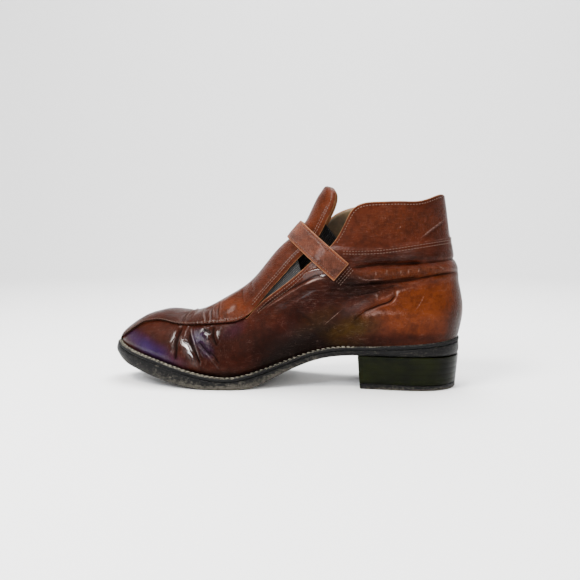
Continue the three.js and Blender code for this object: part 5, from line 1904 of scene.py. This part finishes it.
CAMERA_PLACE = np.array([221.7, -560.0, 125.7])  # millimetres in the maker's measure
CAMERA_YAW = math.radians(-6.54)
CAMERA_PITCH = math.radians(4.64)
CAMERA_LENS = 40.1
LIGHTS = (
    # name, place, aim (metres), width, height, power, colour
    ("key softbox", (-0.42, -0.5, 1.02), (-0.05, 0.0, 0.05), 0.3, 0.3, 19, (1, 0.96, 0.91)),
    ("left softbox", (-0.45, -0.8, 0.76), (-0.05, 0.0, 0.05), 0.28, 0.34, 11, (0.93, 0.96, 1)),
    ("top softbox", (0.1, 0.15, 1.35), (0.0, 0.0, 0.05), 0.9, 0.9, 38, (1, 1, 1)),
    ("front fill", (0.45, -1.3, 0.75), (0.05, 0.0, 0.07), 0.5, 0.5, 7, (1, 0.97, 0.93)),
    ("backdrop wash", (0.0, 1.0, 1.9), (0.0, 2.3, 0.5), 1.4, 1.4, 65, (1, 1, 1)),
)


class BOOT_OT_stage(bpy.types.Operator):
    """Pale floor, soft studio lights and the camera"""

    bl_idname = "boot.stage"
    bl_label = "Stage"

    def execute(self, context):
        scene = context.scene
        self.floor(scene)
        for light in LIGHTS:
            self.light(scene, *light)
        world = bpy.data.worlds.new("studio")
        world.use_nodes = True
        world.node_tree.nodes["Background"].inputs["Color"].default_value = (0.9, 0.93, 1.0, 1)
        world.node_tree.nodes["Background"].inputs["Strength"].default_value = 0.14
        scene.world = world
        camera = bpy.data.objects.new("camera", bpy.data.cameras.new("camera"))
        camera.data.lens = CAMERA_LENS
        camera.data.sensor_width = 36
        camera.location = (CAMERA_PLACE + TO_FRAME) / 1000
        camera.rotation_euler = (math.pi / 2 - CAMERA_PITCH, 0, -CAMERA_YAW)
        scene.collection.objects.link(camera)
        scene.camera = camera
        return {"FINISHED"}

    def floor(self, scene):
        """A round floor that sweeps up into a wall: a profile turned about the upright axis."""
        rings, spokes = 60, 96
        hole, flat, bend, high = 0.004, 1.6, 0.9, 3.0
        bend_from, bend_to = 0.4, 0.7
        reach = np.linspace(0, 1, rings)
        turn = np.clip((reach - bend_from) / (bend_to - bend_from), 0, 1) * math.pi / 2
        level = mix(hole, flat, reach / bend_from)
        radius = np.where(reach < bend_from, level, flat + bend * np.sin(turn))
        wall = mix(bend, high, (reach - bend_to) / (1 - bend_to))
        z = np.where(reach < bend_to, bend * (1 - np.cos(turn)), wall)
        around = np.linspace(0, 2 * math.pi, spokes, endpoint=False)[:, None]
        points = np.stack([radius * np.cos(around), radius * np.sin(around), z + 0 * around], -1)
        mesh = bpy.data.meshes.new("floor")
        walls = grid_faces(spokes, rings, wrap_rows=True)[:, ::-1].tolist()
        hub = (np.arange(spokes) * rings)[::-1].tolist()
        mesh.from_pydata(points.reshape(-1, 3).tolist(), [], [*walls, hub])
        mesh.polygons.foreach_set("use_smooth", np.ones(len(mesh.polygons), dtype=bool))
        finish = Finish("pale floor")
        paper = finish.noise(finish.place(), 40, 4)
        mesh.materials.append(
            finish.done(base_color=tuple(scene.boot_colours.floor), roughness=0.75 + paper * 0.1)
        )
        floor = bpy.data.objects.new("floor", mesh)
        scene.collection.objects.link(floor)

    def light(self, scene, name, place, aim, width, height, power, colour):
        """A softbox that faces its aim."""
        lamp = bpy.data.lights.new(name, "AREA")
        lamp.shape = "RECTANGLE"
        lamp.size, lamp.size_y, lamp.energy, lamp.color = width, height, power, colour
        box = bpy.data.objects.new(name, lamp)
        x, y, z = np.array(aim) - np.array(place)
        box.location = place
        box.rotation_euler = (math.atan2(math.hypot(x, y), -z), 0, math.atan2(y, x) - math.pi / 2)
        scene.collection.objects.link(box)


OPERATORS = (
    BOOT_OT_stage, BOOT_OT_upper, BOOT_OT_lining, BOOT_OT_strip, BOOT_OT_strap, BOOT_OT_gores,
    BOOT_OT_outsole, BOOT_OT_welt, BOOT_OT_insole, BOOT_OT_heel, BOOT_OT_stitches,
)


class BOOT_PT_panel(bpy.types.Panel):
    """Sizes, colours and pieces of the boot"""

    bl_idname = "BOOT_PT_panel"
    bl_label = "Ankle boot"
    bl_space_type = "VIEW_3D"
    bl_region_type = "UI"
    bl_category = "Boot"

    def draw(self, context):
        for group in (context.scene.boot_sizes, context.scene.boot_colours):
            for name in group.bl_rna.properties.keys():
                if name not in ("rna_type", "name"):
                    self.layout.prop(group, name)
        for operator in OPERATORS:
            self.layout.operator(operator.bl_idname)


CLASSES = (BootSizes, BootColours, *OPERATORS, BOOT_PT_panel)


def register():
    """Adds the classes and the scene's two groups of settings."""
    for cls in CLASSES:
        bpy.utils.register_class(cls)
    bpy.types.Scene.boot_sizes = bpy.props.PointerProperty(type=BootSizes)
    bpy.types.Scene.boot_colours = bpy.props.PointerProperty(type=BootColours)


def unregister():
    """Takes them away again."""
    del bpy.types.Scene.boot_colours
    del bpy.types.Scene.boot_sizes
    for cls in reversed(CLASSES):
        bpy.utils.unregister_class(cls)


def main():
    """Registers the classes and makes every piece in order."""
    register()
    for operator in OPERATORS:
        group, name = operator.bl_idname.split(".")
        getattr(getattr(bpy.ops, group), name)()


if __name__ == "__main__":
    main()
